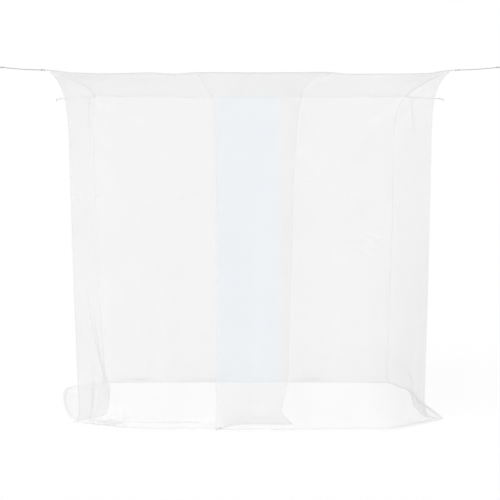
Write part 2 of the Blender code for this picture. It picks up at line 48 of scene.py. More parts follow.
noise.seed_set(2)  # the same creases in every run

# The net hangs in metres, front towards -Y, floor at zero, as the solids do
netSize = {"roofHeight": 2.0, "roofSag": 0.035, "frontPlane": -0.985, "frontHalf": 1.117}
roofHeight, frontHalf = netSize["roofHeight"], netSize["frontHalf"]

cameraView = {"distance": 9.0, "height": 1.31, "lens": 103.1, "pitch": 2.16, "farthest": 4000.0}


def placeObject(name, data):
    thing = bpy.data.objects.new(name, data)
    bpy.context.scene.collection.objects.link(thing)
    return thing


def placeCamera():
    data = bpy.data.cameras.new("photoCamera")
    data.lens = cameraView["lens"]
    data.clip_end = cameraView["farthest"]
    camera = placeObject("photoCamera", data)
    camera.location = (0.0, -cameraView["distance"], cameraView["height"])
    camera.rotation_euler = (radians(90.0 - cameraView["pitch"]), 0.0, 0.0)
    bpy.context.scene.camera = camera


placeCamera()


def mixValue(low, high, share):
    return low + (high - low) * share


def easeStep(low, high, value):
    share = min(max((value - low) / (high - low), 0.0), 1.0)
    return share * share * (3.0 - 2.0 * share)


def easeList(values, share):  # evenly spaced values read at share, with soft steps between
    place = min(max(share, 0.0), 1.0) * (len(values) - 1)
    index = min(int(place), len(values) - 2)
    return mixValue(values[index], values[index + 1], easeStep(0.0, 1.0, place - index))


def curveAt(values, place):  # one smooth curve through all values, read at a place counted in values
    last = len(values) - 1
    index = min(int(place), last - 1)
    t = place - index
    before, here = values[max(index - 1, 0)], values[index]
    there, after = values[index + 1], values[min(index + 2, last)]
    second = (2.0 * before - 5.0 * here + 4.0 * there - after) * t * t
    third = (3.0 * here - before - 3.0 * there + after) * t * t * t
    return 0.5 * (2.0 * here + (there - before) * t + second + third)


def curveList(values, share):  # the same curve, read at share
    return curveAt(values, min(max(share, 0.0), 1.0) * (len(values) - 1))


def curveThrough(points, count):  # a smooth line through given points, count steps between each pair
    return [curveAt(points, step / count) for step in range(count * (len(points) - 1))] + [points[-1]]


def hump(centre, width, value):
    return exp(-(((value - centre) / width) ** 2))


def archAt(share):  # nothing at both ends, 1 in the middle
    return 4.0 * share * (1.0 - share)


def alongAt(path, index):  # the direction of a line at one of its points
    return (path[min(index + 1, len(path) - 1)] - path[max(index - 1, 0)]).normalized()


def pathLengths(points):  # how far along the line each point lies
    lengths = [0.0]
    for before, after in zip(points, points[1:]):
        lengths.append(lengths[-1] + (after - before).length)
    return lengths


def walkEvenly(points, spacing, ways=None):  # the line in even steps, and with ways its sideways directions too
    lengths = pathLengths(points)
    count = max(round(lengths[-1] / spacing), 2)
    path, found, index = [], [], 0
    for step in range(count + 1):
        target = lengths[-1] * step / count
        while index < len(points) - 2 and lengths[index + 1] < target:
            index += 1
        share = (target - lengths[index]) / max(lengths[index + 1] - lengths[index], 1e-9)
        path.append(points[index].lerp(points[index + 1], share))
        if ways:
            found.append(ways[index].lerp(ways[index + 1], min(share, 1.0)).normalized())
    return (path, found) if ways else path


# Shader groups: the knitted mesh, the woven tape and a soft uneven tone


def newGroup(name, inputs, outputs):
    group = bpy.data.node_groups.new(name, "ShaderNodeTree")
    for label, kind, value in inputs:
        socket = group.interface.new_socket(label, in_out="INPUT", socket_type=kind)
        if value is not None:
            socket.default_value = value
    for label in outputs:
        group.interface.new_socket(label, in_out="OUTPUT", socket_type="NodeSocketFloat")
    return group, group.nodes.new("NodeGroupInput"), group.nodes.new("NodeGroupOutput")


def feed(tree, value, socket):  # by a link, or with a plain value
    if isinstance(value, bpy.types.NodeSocket):
        tree.links.new(value, socket)
    elif value is not None:
        socket.default_value = value


def mathNode(tree, operation, first, second=None):
    node = tree.nodes.new("ShaderNodeMath")
    node.operation = operation
    feed(tree, first, node.inputs[0])
    feed(tree, second, node.inputs[1])
    return node.outputs[0]


def waveNode(tree, vector, direction, turns):  # a cosine that runs along direction
    dot = tree.nodes.new("ShaderNodeVectorMath")
    dot.operation = "DOT_PRODUCT"
    feed(tree, vector, dot.inputs[0])
    feed(tree, (*direction, 0.0), dot.inputs[1])
    return mathNode(tree, "COSINE", mathNode(tree, "MULTIPLY", dot.outputs["Value"], turns))


def mapNode(tree, value, fromLow, fromHigh, toLow=0.0, toHigh=1.0):
    node = tree.nodes.new("ShaderNodeMapRange")
    node.interpolation_type = "SMOOTHSTEP"
    for number, socket in zip((value, fromLow, fromHigh, toLow, toHigh), node.inputs):
        feed(tree, number, socket)
    return node.outputs["Result"]


def buildKnitGroup():  # six-sided meshes, from three crossing waves
    inputs = [
        ("Cloth", "NodeSocketVector", None),
        ("Holes Per Metre", "NodeSocketFloat", 500.0),
        ("Hole", "NodeSocketFloat", 0.06),
        ("Thread", "NodeSocketFloat", 0.85),
    ]
    group, given, result = newGroup("knitMesh", inputs, ["Cover", "Relief"])
    turns = mathNode(group, "MULTIPLY", given.outputs["Holes Per Metre"], 4.0 * pi / sqrt(3.0))
    total = 0.0
    for angle in (90.0, 210.0, 330.0):
        direction = (cos(radians(angle)), sin(radians(angle)))
        total = mathNode(group, "ADD", waveNode(group, given.outputs["Cloth"], direction, turns), total)
    feed(group, mapNode(group, total, -0.45, -1.15), result.inputs["Relief"])
    cover = mapNode(group, total, -0.35, -1.05, given.outputs["Hole"], given.outputs["Thread"])
    feed(group, cover, result.inputs["Cover"])
    return group


def buildWeaveGroup():  # ribs across a tape with a twill line through them
    inputs = [("Tape", "NodeSocketVector", None), ("Ribs Per Metre", "NodeSocketFloat", 900.0)]
    group, given, result = newGroup("tapeWeave", inputs, ["Shade", "Relief"])
    ribs = mathNode(group, "MULTIPLY", given.outputs["Ribs Per Metre"], 2.0 * pi)
    across = waveNode(group, given.outputs["Tape"], (1.0, 0.0), ribs)
    twill = waveNode(group, given.outputs["Tape"], (0.5, 0.85), ribs)
    total = mathNode(group, "ADD", across, mathNode(group, "MULTIPLY", twill, 0.6))
    feed(group, mapNode(group, total, -1.4, 1.4), result.inputs["Relief"])
    # Shade is 1 in the grooves between the ribs, where the relief is low and the tape is painted darker: painted shade
    feed(group, mapNode(group, total, -1.4, 0.2, 1.0, 0.0), result.inputs["Shade"])
    return group


def buildGrainGroup():  # soft uneven tone, as on washed cloth or moulded plastic
    inputs = [("Place", "NodeSocketVector", None), ("Size", "NodeSocketFloat", 6.0)]
    group, given, result = newGroup("softGrain", inputs, ["Tone"])
    grain = group.nodes.new("ShaderNodeTexNoise")
    grain.inputs["Detail"].default_value = 4.0
    feed(group, given.outputs["Place"], grain.inputs["Vector"])
    feed(group, given.outputs["Size"], grain.inputs["Scale"])
    feed(group, mapNode(group, grain.outputs["Fac"], 0.3, 0.7), result.inputs["Tone"])
    return group


groups = {"knit": buildKnitGroup(), "weave": buildWeaveGroup(), "grain": buildGrainGroup()}
clothMap = "clothMap"


def placeGroup(tree, name, coordinates, **values):
    node = tree.nodes.new("ShaderNodeGroup")
    node.node_tree = groups[name]
    feed(tree, coordinates, node.inputs[0])
    for label, value in values.items():
        node.inputs[label].default_value = value
    return node


def newMaterial(name, roughness):
    material = bpy.data.materials.new(name)
    material.use_nodes = True
    shader = material.node_tree.nodes["Principled BSDF"]
    shader.inputs["Roughness"].default_value = roughness
    shader.inputs["Specular IOR Level"].default_value = 0.2
    return material, material.node_tree, shader


def uvSocket(tree):
    node = tree.nodes.new("ShaderNodeUVMap")
    node.uv_map = clothMap
    return node.outputs["UV"]


def objectSocket(tree):
    return tree.nodes.new("ShaderNodeTexCoord").outputs["Object"]


def toneSocket(tree, size):  # the soft uneven tone over the object
    return placeGroup(tree, "grain", objectSocket(tree), Size=size).outputs["Tone"]


def mixColour(tree, share, first, second):
    node = tree.nodes.new("ShaderNodeMix")
    node.data_type = "RGBA"
    feed(tree, share, node.inputs["Factor"])
    for value, socket in zip((first, second), node.inputs[6:8]):
        feed(tree, (*value, 1.0) if isinstance(value, tuple) else value, socket)
    return node.outputs[2]


def dressShader(tree, shader, colour, relief=None, strength=0.0, depth=0.0):  # colour, and a relief of depth in metres
    feed(tree, colour, shader.inputs["Base Color"])
    if relief:
        bump = tree.nodes.new("ShaderNodeBump")
        feed(tree, strength, bump.inputs["Strength"])
        feed(tree, depth, bump.inputs["Distance"])
        feed(tree, relief, bump.inputs["Height"])
        feed(tree, bump.outputs["Normal"], shader.inputs["Normal"])


netPaint = {
    "thread": (0.938, 0.938, 0.938),
    "shade": (0.897, 0.897, 0.905),
    "lapTint": (0.890, 0.932, 0.975),
    "holesPerMetre": 480.0,
    "hole": 0.05,
    "threadCover": 0.77,
}
# the edges of the tint over the lap: axis, place and how softly it ends
lapZone = {
    "left": ("X", -0.180, 0.012),
    "right": ("X", 0.165, 0.045),
    "low": ("Z", 0.26, 0.012),
    "high": ("Z", 1.87, 0.012),
}


def netMaterial(name, lapped, turned, hole=netPaint["hole"], cover=netPaint["threadCover"]):
    material, tree, shader = newMaterial(name, 0.9)
    turn = tree.nodes.new("ShaderNodeMapping")
    turn.inputs["Rotation"].default_value = (0.0, 0.0, radians(turned))
    feed(tree, uvSocket(tree), turn.inputs["Vector"])
    values = {"Holes Per Metre": netPaint["holesPerMetre"], "Hole": hole, "Thread": cover}
    knit = placeGroup(tree, "knit", turn.outputs["Vector"], **values)
    colour = mixColour(tree, toneSocket(tree, 3.0), netPaint["thread"], netPaint["shade"])
    if lapped:  # where the two doors lie over each other, the doubled thread looks cooler
        parts = tree.nodes.new("ShaderNodeSeparateXYZ")
        feed(tree, objectSocket(tree), parts.inputs[0])
        zone = 1.0
        for edge, (axis, place, soft) in lapZone.items():
            sides = (0.0, 1.0) if edge in ("left", "low") else (1.0, 0.0)
            limit = mapNode(tree, parts.outputs[axis], place - soft, place + soft, *sides)
            zone = mathNode(tree, "MULTIPLY", limit, zone)
        colour = mixColour(tree, zone, colour, netPaint["lapTint"])
    feed(tree, knit.outputs["Cover"], shader.inputs["Alpha"])
    dressShader(tree, shader, colour, knit.outputs["Relief"], 0.25, 0.0003)
    return material


def tapeMaterial(name, light, dark, ribs):
    material, tree, shader = newMaterial(name, 0.85)
    weave = placeGroup(tree, "weave", uvSocket(tree), **{"Ribs Per Metre": ribs})
    # darker in the weave's grooves: painted shade, which the soft uneven tone fades out at random
    colour = mixColour(tree, weave.outputs["Shade"], light, dark)
    wornAndGrooveShade = mixColour(tree, toneSocket(tree, 9.0), light, colour)
    dressShader(tree, shader, wornAndGrooveShade, weave.outputs["Relief"], 0.6, 0.0002)
    return material


cordFibre = {"perMetre": 2400.0, "stretch": 0.12, "slant": 38.0}


def cordMaterial(name, light, dark):
    material, tree, shader = newMaterial(name, 0.8)
    stretch = tree.nodes.new("ShaderNodeMapping")
    stretch.inputs["Scale"].default_value = (cordFibre["stretch"], 1.0, 1.0)
    stretch.inputs["Rotation"].default_value = (0.0, 0.0, radians(cordFibre["slant"]))
    feed(tree, uvSocket(tree), stretch.inputs["Vector"])
    fibre = tree.nodes.new("ShaderNodeTexNoise")
    fibre.inputs["Scale"].default_value = cordFibre["perMetre"]
    feed(tree, stretch.outputs["Vector"], fibre.inputs["Vector"])
    share = mapNode(tree, fibre.outputs["Fac"], 0.35, 0.65)
    dressShader(tree, shader, mixColour(tree, share, light, dark), share, 0.5, 0.0002)
    return material


def plasticMaterial():
    material, tree, shader = newMaterial("hookPlastic", 0.35)
    shader.inputs["Specular IOR Level"].default_value = 0.5
    cloud = toneSocket(tree, 60.0)
    feed(tree, mapNode(tree, cloud, 0.0, 1.0, 0.32, 0.42), shader.inputs["Roughness"])
    colour = mixColour(tree, cloud, (0.90, 0.90, 0.90), (0.86, 0.865, 0.87))
    dressShader(tree, shader, colour, toneSocket(tree, 900.0), 0.08, 0.0001)
    return material


def foamMaterial():
    material, tree, shader = newMaterial("padFoam", 0.95)
    pores = tree.nodes.new("ShaderNodeTexVoronoi")
    pores.inputs["Scale"].default_value = 1800.0
    feed(tree, objectSocket(tree), pores.inputs["Vector"])
    # the pores are painted darker where their relief is low: painted shade in the pores
    depth = mapNode(tree, pores.outputs["Distance"], 0.1, 0.5)
    dressShader(tree, shader, mixColour(tree, depth, (0.66, 0.66, 0.66), (0.82, 0.82, 0.81)), depth, 0.5, 0.0002)
    return material


def threadMaterial():
    material, tree, shader = newMaterial("sewingThread", 0.7)
    dressShader(tree, shader, mixColour(tree, toneSocket(tree, 400.0), (0.90, 0.90, 0.90), (0.80, 0.80, 0.81)))
    return material


materials = {
    "net": netMaterial("knittedNet", False, 0.0),
    "leftDoorNet": netMaterial("leftDoorNet", True, 90.0),
    "rightDoorNet": netMaterial("rightDoorNet", True, 0.0),
    "denseNet": netMaterial("denseNet", False, 0.0, 0.080, 0.98),
    "foldedNet": netMaterial("foldedNet", False, 30.0, 0.20, 0.18),
    "tape": tapeMaterial("seamTape", (0.97, 0.97, 0.97), (0.92, 0.92, 0.93), 900.0),
    # the next two are the white tape painted grey for the side roof edges, the right one much darker: painted shade on
    # edges turned from the light
    "roofTape": tapeMaterial("roofTape", (0.78, 0.78, 0.78), (0.66, 0.66, 0.67), 900.0),
    "paintedShadeRoofTape": tapeMaterial("paintedShadeRoofTape", (0.30, 0.30, 0.30), (0.24, 0.24, 0.25), 900.0),
    "hem": tapeMaterial("hemTape", (0.96, 0.96, 0.96), (0.92, 0.92, 0.92), 700.0),
    "webbing": tapeMaterial("loopWebbing", (0.70, 0.70, 0.70), (0.56, 0.56, 0.57), 1100.0),
    # the white cord painted grey, darker for the front cords than the rear ones: painted shade of the twisted strands
    "cord": cordMaterial("twistedCord", (0.60, 0.60, 0.60), (0.48, 0.48, 0.485)),
    "paleCord": cordMaterial("paleCord", (0.84, 0.84, 0.84), (0.73, 0.73, 0.735)),
    "plastic": plasticMaterial(),
    "foam": foamMaterial(),
    "thread": threadMaterial(),
}
print("materials made")


# Corner seams: pulled out at the top, nearly upright below, the same lines as the solids


def corner(top, low, floorPoint, fade, outward, reach, flare=0.0):
    return {
        "flare": flare,
        "top": Vector(top),
        "low": Vector(low),
        "floor": Vector(floorPoint),
        "fade": fade,
        "outward": Vector(outward).normalized(),
        "reach": reach,
    }


corners = {
    "front_left": corner((-1.117, -1.000, 2.008), (-1.016, -0.935), (-0.986, -0.715), 0.095, (-0.80, -0.60), 0.040),
    "front_right": corner((1.117, -1.000, 2.008), (1.018, -0.935), (1.014, -0.660), 0.080, (0.85, 0.53), 0.135, 0.25),
    "rear_left": corner((-1.082, 1.000, 2.000), (-1.085, 0.960), (-1.012, 0.985), 0.090, (-0.82, 0.57), 0.030),
    "rear_right": corner((1.082, 1.000, 2.000), (0.998, 0.960), (0.955, 0.980), 0.080, (0.82, 0.57), 0.030),
}

hanging = {
    "cordDiameter": 0.005,
    "cordSag": 0.003,
    "wallPlane": 1.375,
    "hookLine": 1.200,
    "padThickness": 0.001,
    "plateThickness": 0.003,
    "plateRadius": 0.013,
    "armReach": 0.017,
    "armRadius": 0.0025,
    "armDrop": 0.0005,
    "armBend": 0.004,
    "postRise": 0.007,
    "loopLength": 0.034,
    "loopHeight": 0.009,
    "loopBand": 0.006,
    "loopThickness": 0.001,
    "eyeRadius": 0.0073,
    "eyeInLoop": 0.0044,
    "knotHalf": 0.006,
    "knotBite": 0.0015,
    "touchGap": 0.0003,
    "tailRadius": 0.0014,
    "tailStart": 0.050,
    "tailDrop": 0.0065,
    "tailInKnot": 0.0040,
}


def label(name):
    return "".join(word.capitalize() for word in name.split("_"))


def ropeFrames(path):  # a steady sideways direction at each point
    frames, side = [], None
    for index in range(len(path)):
        along = alongAt(path, index)
        if side is None:
            side = along.orthogonal().normalized()
        side = (side - along * side.dot(along)).normalized()
        frames.append((side.copy(), along.cross(side)))
    return frames


def tubeFaces(rings, sides, mapAt):
    # the skin of a tube and its two ends; mapAt gives a corner's place on the cloth map
    faces, uvs = [], []
    for ring in range(rings - 1):
        for step in range(sides):
            other = (step + 1) % sides
            a, b = ring * sides, (ring + 1) * sides
            faces.append((a + step, a + other, b + other, b + step))
            uvs.append([mapAt(ring, step), mapAt(ring, step + 1), mapAt(ring + 1, step + 1), mapAt(ring + 1, step)])
    for end in (reversed(range(sides)), range((rings - 1) * sides, rings * sides)):
        faces.append(tuple(end))
        uvs.append([(0.0, 0.0)] * sides)
    return faces, uvs


ropeMap = {"step": 0.0012, "round": 0.016}


def ropeShape(path, radii, sides=15, pitch=0.016, depth=0.16):
    # three strands laid round each other: a section of three lobes that turns along the rope
    verts = []
    for centre, (side, up), radius, walked in zip(path, ropeFrames(path), radii, pathLengths(path)):
        twist = 2.0 * pi * walked / pitch
        for step in range(sides):
            turn = 2.0 * pi * step / sides
            reach = radius * (1.0 - depth * (0.5 - 0.5 * cos(3.0 * (turn - twist))))
            verts.append(centre + side * reach * cos(turn) + up * reach * sin(turn))

    def mapAt(ring, step):
        return (ring * ropeMap["step"], ropeMap["round"] * step / sides)

    return verts, *tubeFaces(len(path), sides, mapAt)


def meshObject(name, verts, faces, uvs, material):
    mesh = bpy.data.meshes.new(name)
    mesh.from_pydata([tuple(v) for v in verts], [], faces)
    layer = mesh.uv_layers.new(name=clothMap)
    layer.data.foreach_set("uv", [number for face in uvs for pair in face for number in pair])
    mesh.materials.append(materials[material])
    mesh.shade_smooth()
    mesh.update()
    return placeObject(name, mesh)


def finishRigid(thing, body, slot, *nodes):
    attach(thing, body)
    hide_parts(*nodes)
    return thing


def ropeObject(name, node, path, radii, material, *lay):
    return finishRigid(meshObject(name, *ropeShape(path, radii, *lay), material), "root", "cord", node)


def sideOf(value):
    return 1.0 if value > 0.0 else -1.0


def hangingLine(name):  # where the loop, the two eyes and the hook of a corner lie
    here = corners[name]
    side = sideOf(here["top"].x)
    reach = hanging["wallPlane"] - hanging["padThickness"] - hanging["plateThickness"] - hanging["armReach"]
    post = Vector((side * reach, sideOf(here["top"].y) * hanging["hookLine"], here["top"].z))
    out = (post - here["top"]).normalized()
    loopEnd = here["top"] + out * hanging["loopLength"]
    first = loopEnd + out * (hanging["eyeRadius"] - hanging["eyeInLoop"])
    gap = hanging["eyeRadius"] - hanging["cordDiameter"] / 2.0 - hanging["armRadius"] - hanging["touchGap"]
    last = post - out * gap
    face = hanging["eyeRadius"] + 2.0 * hanging["knotHalf"] - hanging["knotBite"] + hanging["touchGap"]
    return {"corner": here, "side": side, "post": post, "out": out, "first": first, "last": last, "face": face}


def cordKind(name):  # the rear cords show paler than the front ones: both are the white cord painted grey as painted shade, the front ones darker
    return "paleCord" if "rear" in name else "cord"


# How thick the cord is drawn in a knot, and the three turns that close its eye
knotShape = {
    "standing": 0.0023,
    "inside": 0.0014,
    "eye": 0.0019,
    "end": 0.0013,
    "eyeFrom": 26.0,
    "turns": 3,
    "turnSteps": 30,
    "turnReach": 0.0027,
    "sides": 12,
    "pitch": 0.011,
    "lobes": 0.14,
    "fine": 4,
}


def makeKnot(kind, corner, centre, out):  # an eye closed by three turns round its own neck, then a short end
    across = Vector((-out.y, out.x, 0.0))
    up = Vector((0.0, 0.0, 1.0))
    eye, fine = hanging["eyeRadius"], knotShape["fine"]
    inside, end = knotShape["inside"], knotShape["end"]
    neck = eye - hanging["knotBite"]
    far = neck + 2.0 * hanging["knotHalf"]
    points, radii = [], []

    def add(along, sideways, rise, radius):
        points.append(centre + out * along + across * sideways + up * rise)
        radii.append(radius)

    add(far + 0.004, 0.0, 0.0, knotShape["standing"])  # the standing part goes in
    add(far, 0.0, 0.0, knotShape["standing"])
    add(far - 0.004, 0.0010, 0.0, inside)
    add(neck + 0.003, 0.0010, 0.0, inside)
    for step in range(13):
        turn = radians(mixValue(knotShape["eyeFrom"], 360.0 - knotShape["eyeFrom"], step / 12.0))
        add(eye * cos(turn), eye * sin(turn), 0.0, knotShape["eye"])
    add(neck + 0.003, -0.0010, 0.0, 0.0015)
    add(far - 0.004, -0.0011, 0.0003, end)
    for step in range(knotShape["turnSteps"] + 1):
        share = step / knotShape["turnSteps"]
        turn = 2.0 * pi * knotShape["turns"] * share - pi / 2.0
        wide = knotShape["turnReach"] * easeStep(-0.08, 0.08, share)
        add(mixValue(far - 0.0015, neck + 0.0015, share), wide * sin(turn), wide * cos(turn), inside)
    add(neck + 0.003, 0.0042, 0.0024, end)
    add(neck + 0.008, 0.0052, 0.0034, end)
    path = curveThrough(points, fine)
    grown = []
    for index in range(len(path)):
        place = min(index / fine, len(radii) - 1.001)
        grown.append(mixValue(radii[int(place)], radii[int(place) + 1], place - int(place)))
    name, node = f"{kind}Knot{label(corner)}", f"{kind}_knot_{corner}"
    lay = (knotShape["sides"], knotShape["pitch"], knotShape["lobes"])
    return ropeObject(name, node, path, grown, cordKind(corner), *lay)


def makeCords():
    for name in corners:
        line = hangingLine(name)
        start = line["first"] + line["out"] * line["face"]
        stop = line["last"] - line["out"] * line["face"]
        points = []
        for share in (0.0, 0.25, 0.5, 0.75, 1.0):
            points.append(start.lerp(stop, share) - Vector((0.0, 0.0, hanging["cordSag"] * archAt(share))))
        path = walkEvenly(curveThrough(points, 30), 0.0013)
        radii = [hanging["cordDiameter"] / 2.0] * len(path)
        cord = ropeObject(f"cord{label(name)}", f"cord_{name}", path, radii, cordKind(name))
        knots = [
            makeKnot("loop", name, line["first"], line["out"]),
            makeKnot("hook", name, line["last"], -line["out"]),
        ]
        length = pathLengths(path)[-1]
        print(f"cord {name} is {length:.3f} m long")


tails = {"rear_left": {"length": 0.205, "drift": 0.004}, "rear_right": {"length": 0.235, "drift": 0.022}}
tailBead = (0.55, 1.0, 1.12, 1.08)  # the cut end is melted to a small bead


def makeTails():
    for name, tail in tails.items():
        here = corners[name]
        side = sideOf(here["top"].x)
        start = here["top"] + Vector((*here["outward"], 0.0)) * hanging["tailStart"]
        start.z -= hanging["tailDrop"]
        knot = start + Vector((0.0, 0.0, hanging["tailInKnot"]))
        points = [knot, start, start + Vector((side * 0.002, 0.002, -0.02))]
        for share in (0.3, 0.55, 0.8, 1.0):
            swing, wave = tail["drift"] * share, 0.004 * sin(5.0 * share)
            points.append(start + Vector((side * (0.002 + swing), 0.003 + wave, -tail["length"] * share)))
        path = walkEvenly(curveThrough(points, 20), 0.0012)
        radii = [hanging["tailRadius"]] * len(path)
        for index, size in enumerate(tailBead):
            radii[-1 - index] *= size
        cord = ropeObject(f"cordTail{label(name)}", f"cord_tail_{name}", path, radii, "cord", 12, 0.009)
        length = pathLengths(path)[-1]
        print(f"tail {name} is {length:.3f} m long")


makeCords()
makeTails()

# Cloth shapes


def seamPlan(here, height):
    drop = max(here["top"].z - height, 0.0)
    share = min(drop / here["top"].z, 1.0)
    base = here["low"].lerp(here["floor"], share**1.6)
    return base.lerp(here["top"].xy, exp(-drop / here["fade"]))


footStart = 0.14
clothLift = 0.0012  # the lowest that cloth lies above the floor
# how much of each foot shape the cloth takes along an edge, where nothing else is said
plainFoot = {"rolled": [0.1, 0.1], "folded": [0.0, 0.0], "flared": [0.0, 0.0], "tall": [1.0, 1.0]}
walls = {
    "left": {
        "ends": ("rear_left", "front_left"),
        "outward": Vector((-1.0, 0.0)),
        "bowTop": -0.066,
        "foot": [0.0, -0.015, -0.030, -0.050, -0.078, -0.112, -0.143, -0.142, 0.0],
        "footFade": 0.9,
        "edgeSag": 0.006,
        "skirt": [0.030, 0.130, 0.200, 0.212, 0.200, 0.182, 0.160, 0.135, 0.105, 0.065, 0.040],
        "cut": 2.03,
        "area": 4.03,
        "folds": {"waves": 4.0, "depth": 0.009, "phase": 0.4},
        "shape": {"rolled": [0.1, 0.0, 0.0, 0.0, 0.0]},
        "curl": [0.002, 0.016, 0.020, 0.018, 0.012, 0.002],
        "crumple": 0.05,
        "snug": 0.6,
    },
    "right": {
        "ends": ("front_right", "rear_right"),
        "outward": Vector((1.0, 0.0)),
        "bowTop": -0.036,
        "foot": [0.0, 0.000, 0.006, 0.022, 0.043, 0.064, 0.076, 0.044, 0.0],
        "footFade": 0.32,
        "edgeSag": 0.006,
        "skirt": [0.110, 0.118, 0.114, 0.108, 0.098, 0.090, 0.098, 0.108, 0.095, 0.060, 0.030],
        "cut": 2.02,
        "area": 3.73,
        "folds": {"waves": 5.0, "depth": 0.003, "phase": 1.9},
        "shape": {"flared": [0.25, 0.1, 0.0, 0.0, 0.0, 0.0, 0.0, 0.0, 0.0]},
        "curl": [0.0, 0.0],
        "crumple": 0.04,
        "snug": 0.4,
        "bunch": {"at": -0.60, "width": 0.08, "amount": 0.1},
    },
    "rear": {
        "ends": ("rear_right", "rear_left"),
        "outward": Vector((0.0, 1.0)),
        "bowTop": -0.020,
        "foot": [0.0, 0.010, 0.015, 0.012, 0.015, 0.010, 0.0],
        "footFade": 0.9,
        "edgeSag": 0.005,
        "skirt": [0.030, 0.060, 0.055, 0.065, 0.055, 0.030],
        "cut": 2.17,
        "area": 4.14,
        "folds": {"waves": 5.0, "depth": 0.009, "phase": 2.7},
        "shape": {
            "folded": [0.0, 0.0, 0.0, 0.0, 0.9, 0.2, 0.0, 0.0, 0.1, 0.7, 0.6, 0.2, 0.0, 1.0, 0.5, 0.0],
            "tall": [0.8, 0.8],
        },
        "curl": [0.0, 0.0],
        "crumple": 0.3,
        "snug": 0.3,
    },
}


def roofEdge(wall, share):
    start, end = (corners[name]["top"] for name in wall["ends"])
    out = wall["outward"] * wall["bowTop"] * archAt(share)
    return start.lerp(end, share) + Vector((out.x, out.y, -wall["edgeSag"] * archAt(share)))


# how far the front roof edge hangs below its corners, from the left one to the right one
frontDrops = [0.0, 0.014, 0.0175, 0.016, 0.0125, 0.0195, 0.0105, 0.011, 0.0125]
frontDrops += [0.012, 0.0115, 0.0095, 0.0205, 0.0195, 0.019, 0.017, 0.0]
doorFlat = 0.62  # the doors lie flat as far out as this, and curve back to the seams beyond


def frontEdge(x):
    top = corners["front_left"]["top"]
    beyond = max(abs(x) - doorFlat, 0.0) / (frontHalf - doorFlat)
    depth = mixValue(netSize["frontPlane"], top.y, beyond**2.2)
    return Vector((x, depth, top.z - easeList(frontDrops, (x + frontHalf) / (2.0 * frontHalf))))


def wallPlan(wall, share, height):
    start, end = (corners[name] for name in wall["ends"])
    line = seamPlan(start, height).lerp(seamPlan(end, height), share)
    drop = max(roofEdge(wall, share).z - height, 0.0)
    fade = wall["footFade"]
    low = curveList(wall["foot"], share) * min(max((fade - height) / (fade - footStart), 0.0), 1.0) ** 2
    return line + wall["outward"] * (low + wall["bowTop"] * archAt(share) * exp(-drop / start["fade"]))


def foldDepth(wall, share, height):  # upright folds that deepen downwards and die out at the seams
    folds = wall["folds"]
    turn = 2.0 * pi * folds["waves"] * (share + 0.04 * sin(2.0 * pi * 1.7 * share + folds["phase"]))
    fade = easeStep(0.0, 0.10, share) * easeStep(0.0, 0.10, 1.0 - share)
    drop = (max(roofHeight - height, 0.0) / roofHeight) ** 1.6
    return folds["depth"] * fade * drop * (sin(turn + folds["phase"]) + 0.35 * sin(2.3 * turn + 1.3))


def foldRow(slopes, chord):  # a row of cloth that turns by slopes, fitted between its two ends
    along = np.concatenate([[0.0], np.cumsum(np.cos(slopes))])
    out = np.concatenate([[0.0], np.cumsum(np.sin(slopes))])
    share = along / along[-1]
    return share, (out - out[-1] * share) * chord / along[-1]


# The lowest stretch of a column of cloth, out from the wall and up from the floor: plain, rolled over itself,
# folded up and down again, spread outwards, and turned in under the net; the last two are shares of the reach
footHeights = {
    "plain": (0.14, 0.105, 0.072, 0.045, 0.024, 0.010, 0.004),
    "rolled": (0.14, 0.110, 0.082, 0.056, 0.032, 0.014, 0.004),
    "folded": (0.14, 0.090, 0.050, 0.026, 0.037, 0.036, 0.012),
    "flared": (0.14, 0.110, 0.080, 0.054, 0.032, 0.016, 0.006),
    "inward": (0.14, 0.105, 0.074, 0.050, 0.028, 0.013, 0.006),
}
footReaches = {
    "plain": (0.0, 0.0, 0.001, 0.004, 0.012, 0.026, 0.044),
    "rolled": (0.0, 0.005, 0.017, 0.027, 0.023, 0.006, 0.018),
    "folded": (0.0, 0.001, 0.006, 0.018, 0.028, 0.037, 0.047),
    "flared": (0.0, 0.07, 0.22, 0.42, 0.62, 0.80, 0.90),
    "inward": (0.0, 0.0, 0.03, 0.12, 0.32, 0.58, 0.80),
}
footShapes = {name: list(zip(footReaches[name], footHeights[name])) for name in footReaches}
seamRoll = 0.25


def shapeAt(lists, share, near, flare):  # how much of each shape the cloth takes here; near is 0 on a corner seam
    atSeam = {"rolled": seamRoll, "folded": 0.0, "flared": flare, "tall": 1.0}
    here = {name: curveList(lists.get(name, plain), share) for name, plain in plainFoot.items()}
    return {name: mixValue(atSeam[name], value, near) for name, value in here.items()}


def footLine(reach, shape, curl, snug=1.0, rise=0.0):
    fit = min(1.0, (abs(reach) + 0.006) / 0.055) * snug
    turned = easeStep(0.0, 0.07, -reach)
    scale = {"rolled": 1.0, "folded": 1.0 / snug, "flared": max(reach, 0.0) / fit}
    points = []
    for index, (out, high) in enumerate(footShapes["plain"]):
        for name in ("rolled", "folded", "flared"):
            other, lift = footShapes[name][index]
            if name == "folded" and index > 2:
                lift *= shape["tall"]
            share = max(shape[name], 0.0)
            out, high = mixValue(out, other * scale[name], share), mixValue(high, lift, min(share, 1.0))
        far, low = footShapes["inward"][index]
        points.append(Vector((mixValue(out * fit, far * reach, turned), mixValue(high, low, turned))))
    points[-1].y = min(points[-1].y, 0.006 + 2.0 * rise)
    last = points[-1].x
    points.append(Vector((mixValue(last, reach, 0.5), 0.0025 + 2.0 * rise)))
    points.append(Vector((mixValue(last, reach, 0.8), 0.0018 + 1.5 * rise + 0.25 * curl)))
    points.append(Vector((reach, clothLift + rise + curl)))
    return [Vector((point.x, max(point.y, clothLift))) for point in curveThrough(points, clothGrid["foot"])[1:]]


# The soft creases near the floor: how many to a metre, and how far they move the cloth
creases = {"coarse": (9.0, 0.010), "fine": (24.0, 0.0045), "tight": (38.0, 0.016), "highest": 0.26, "bunched": 0.018}


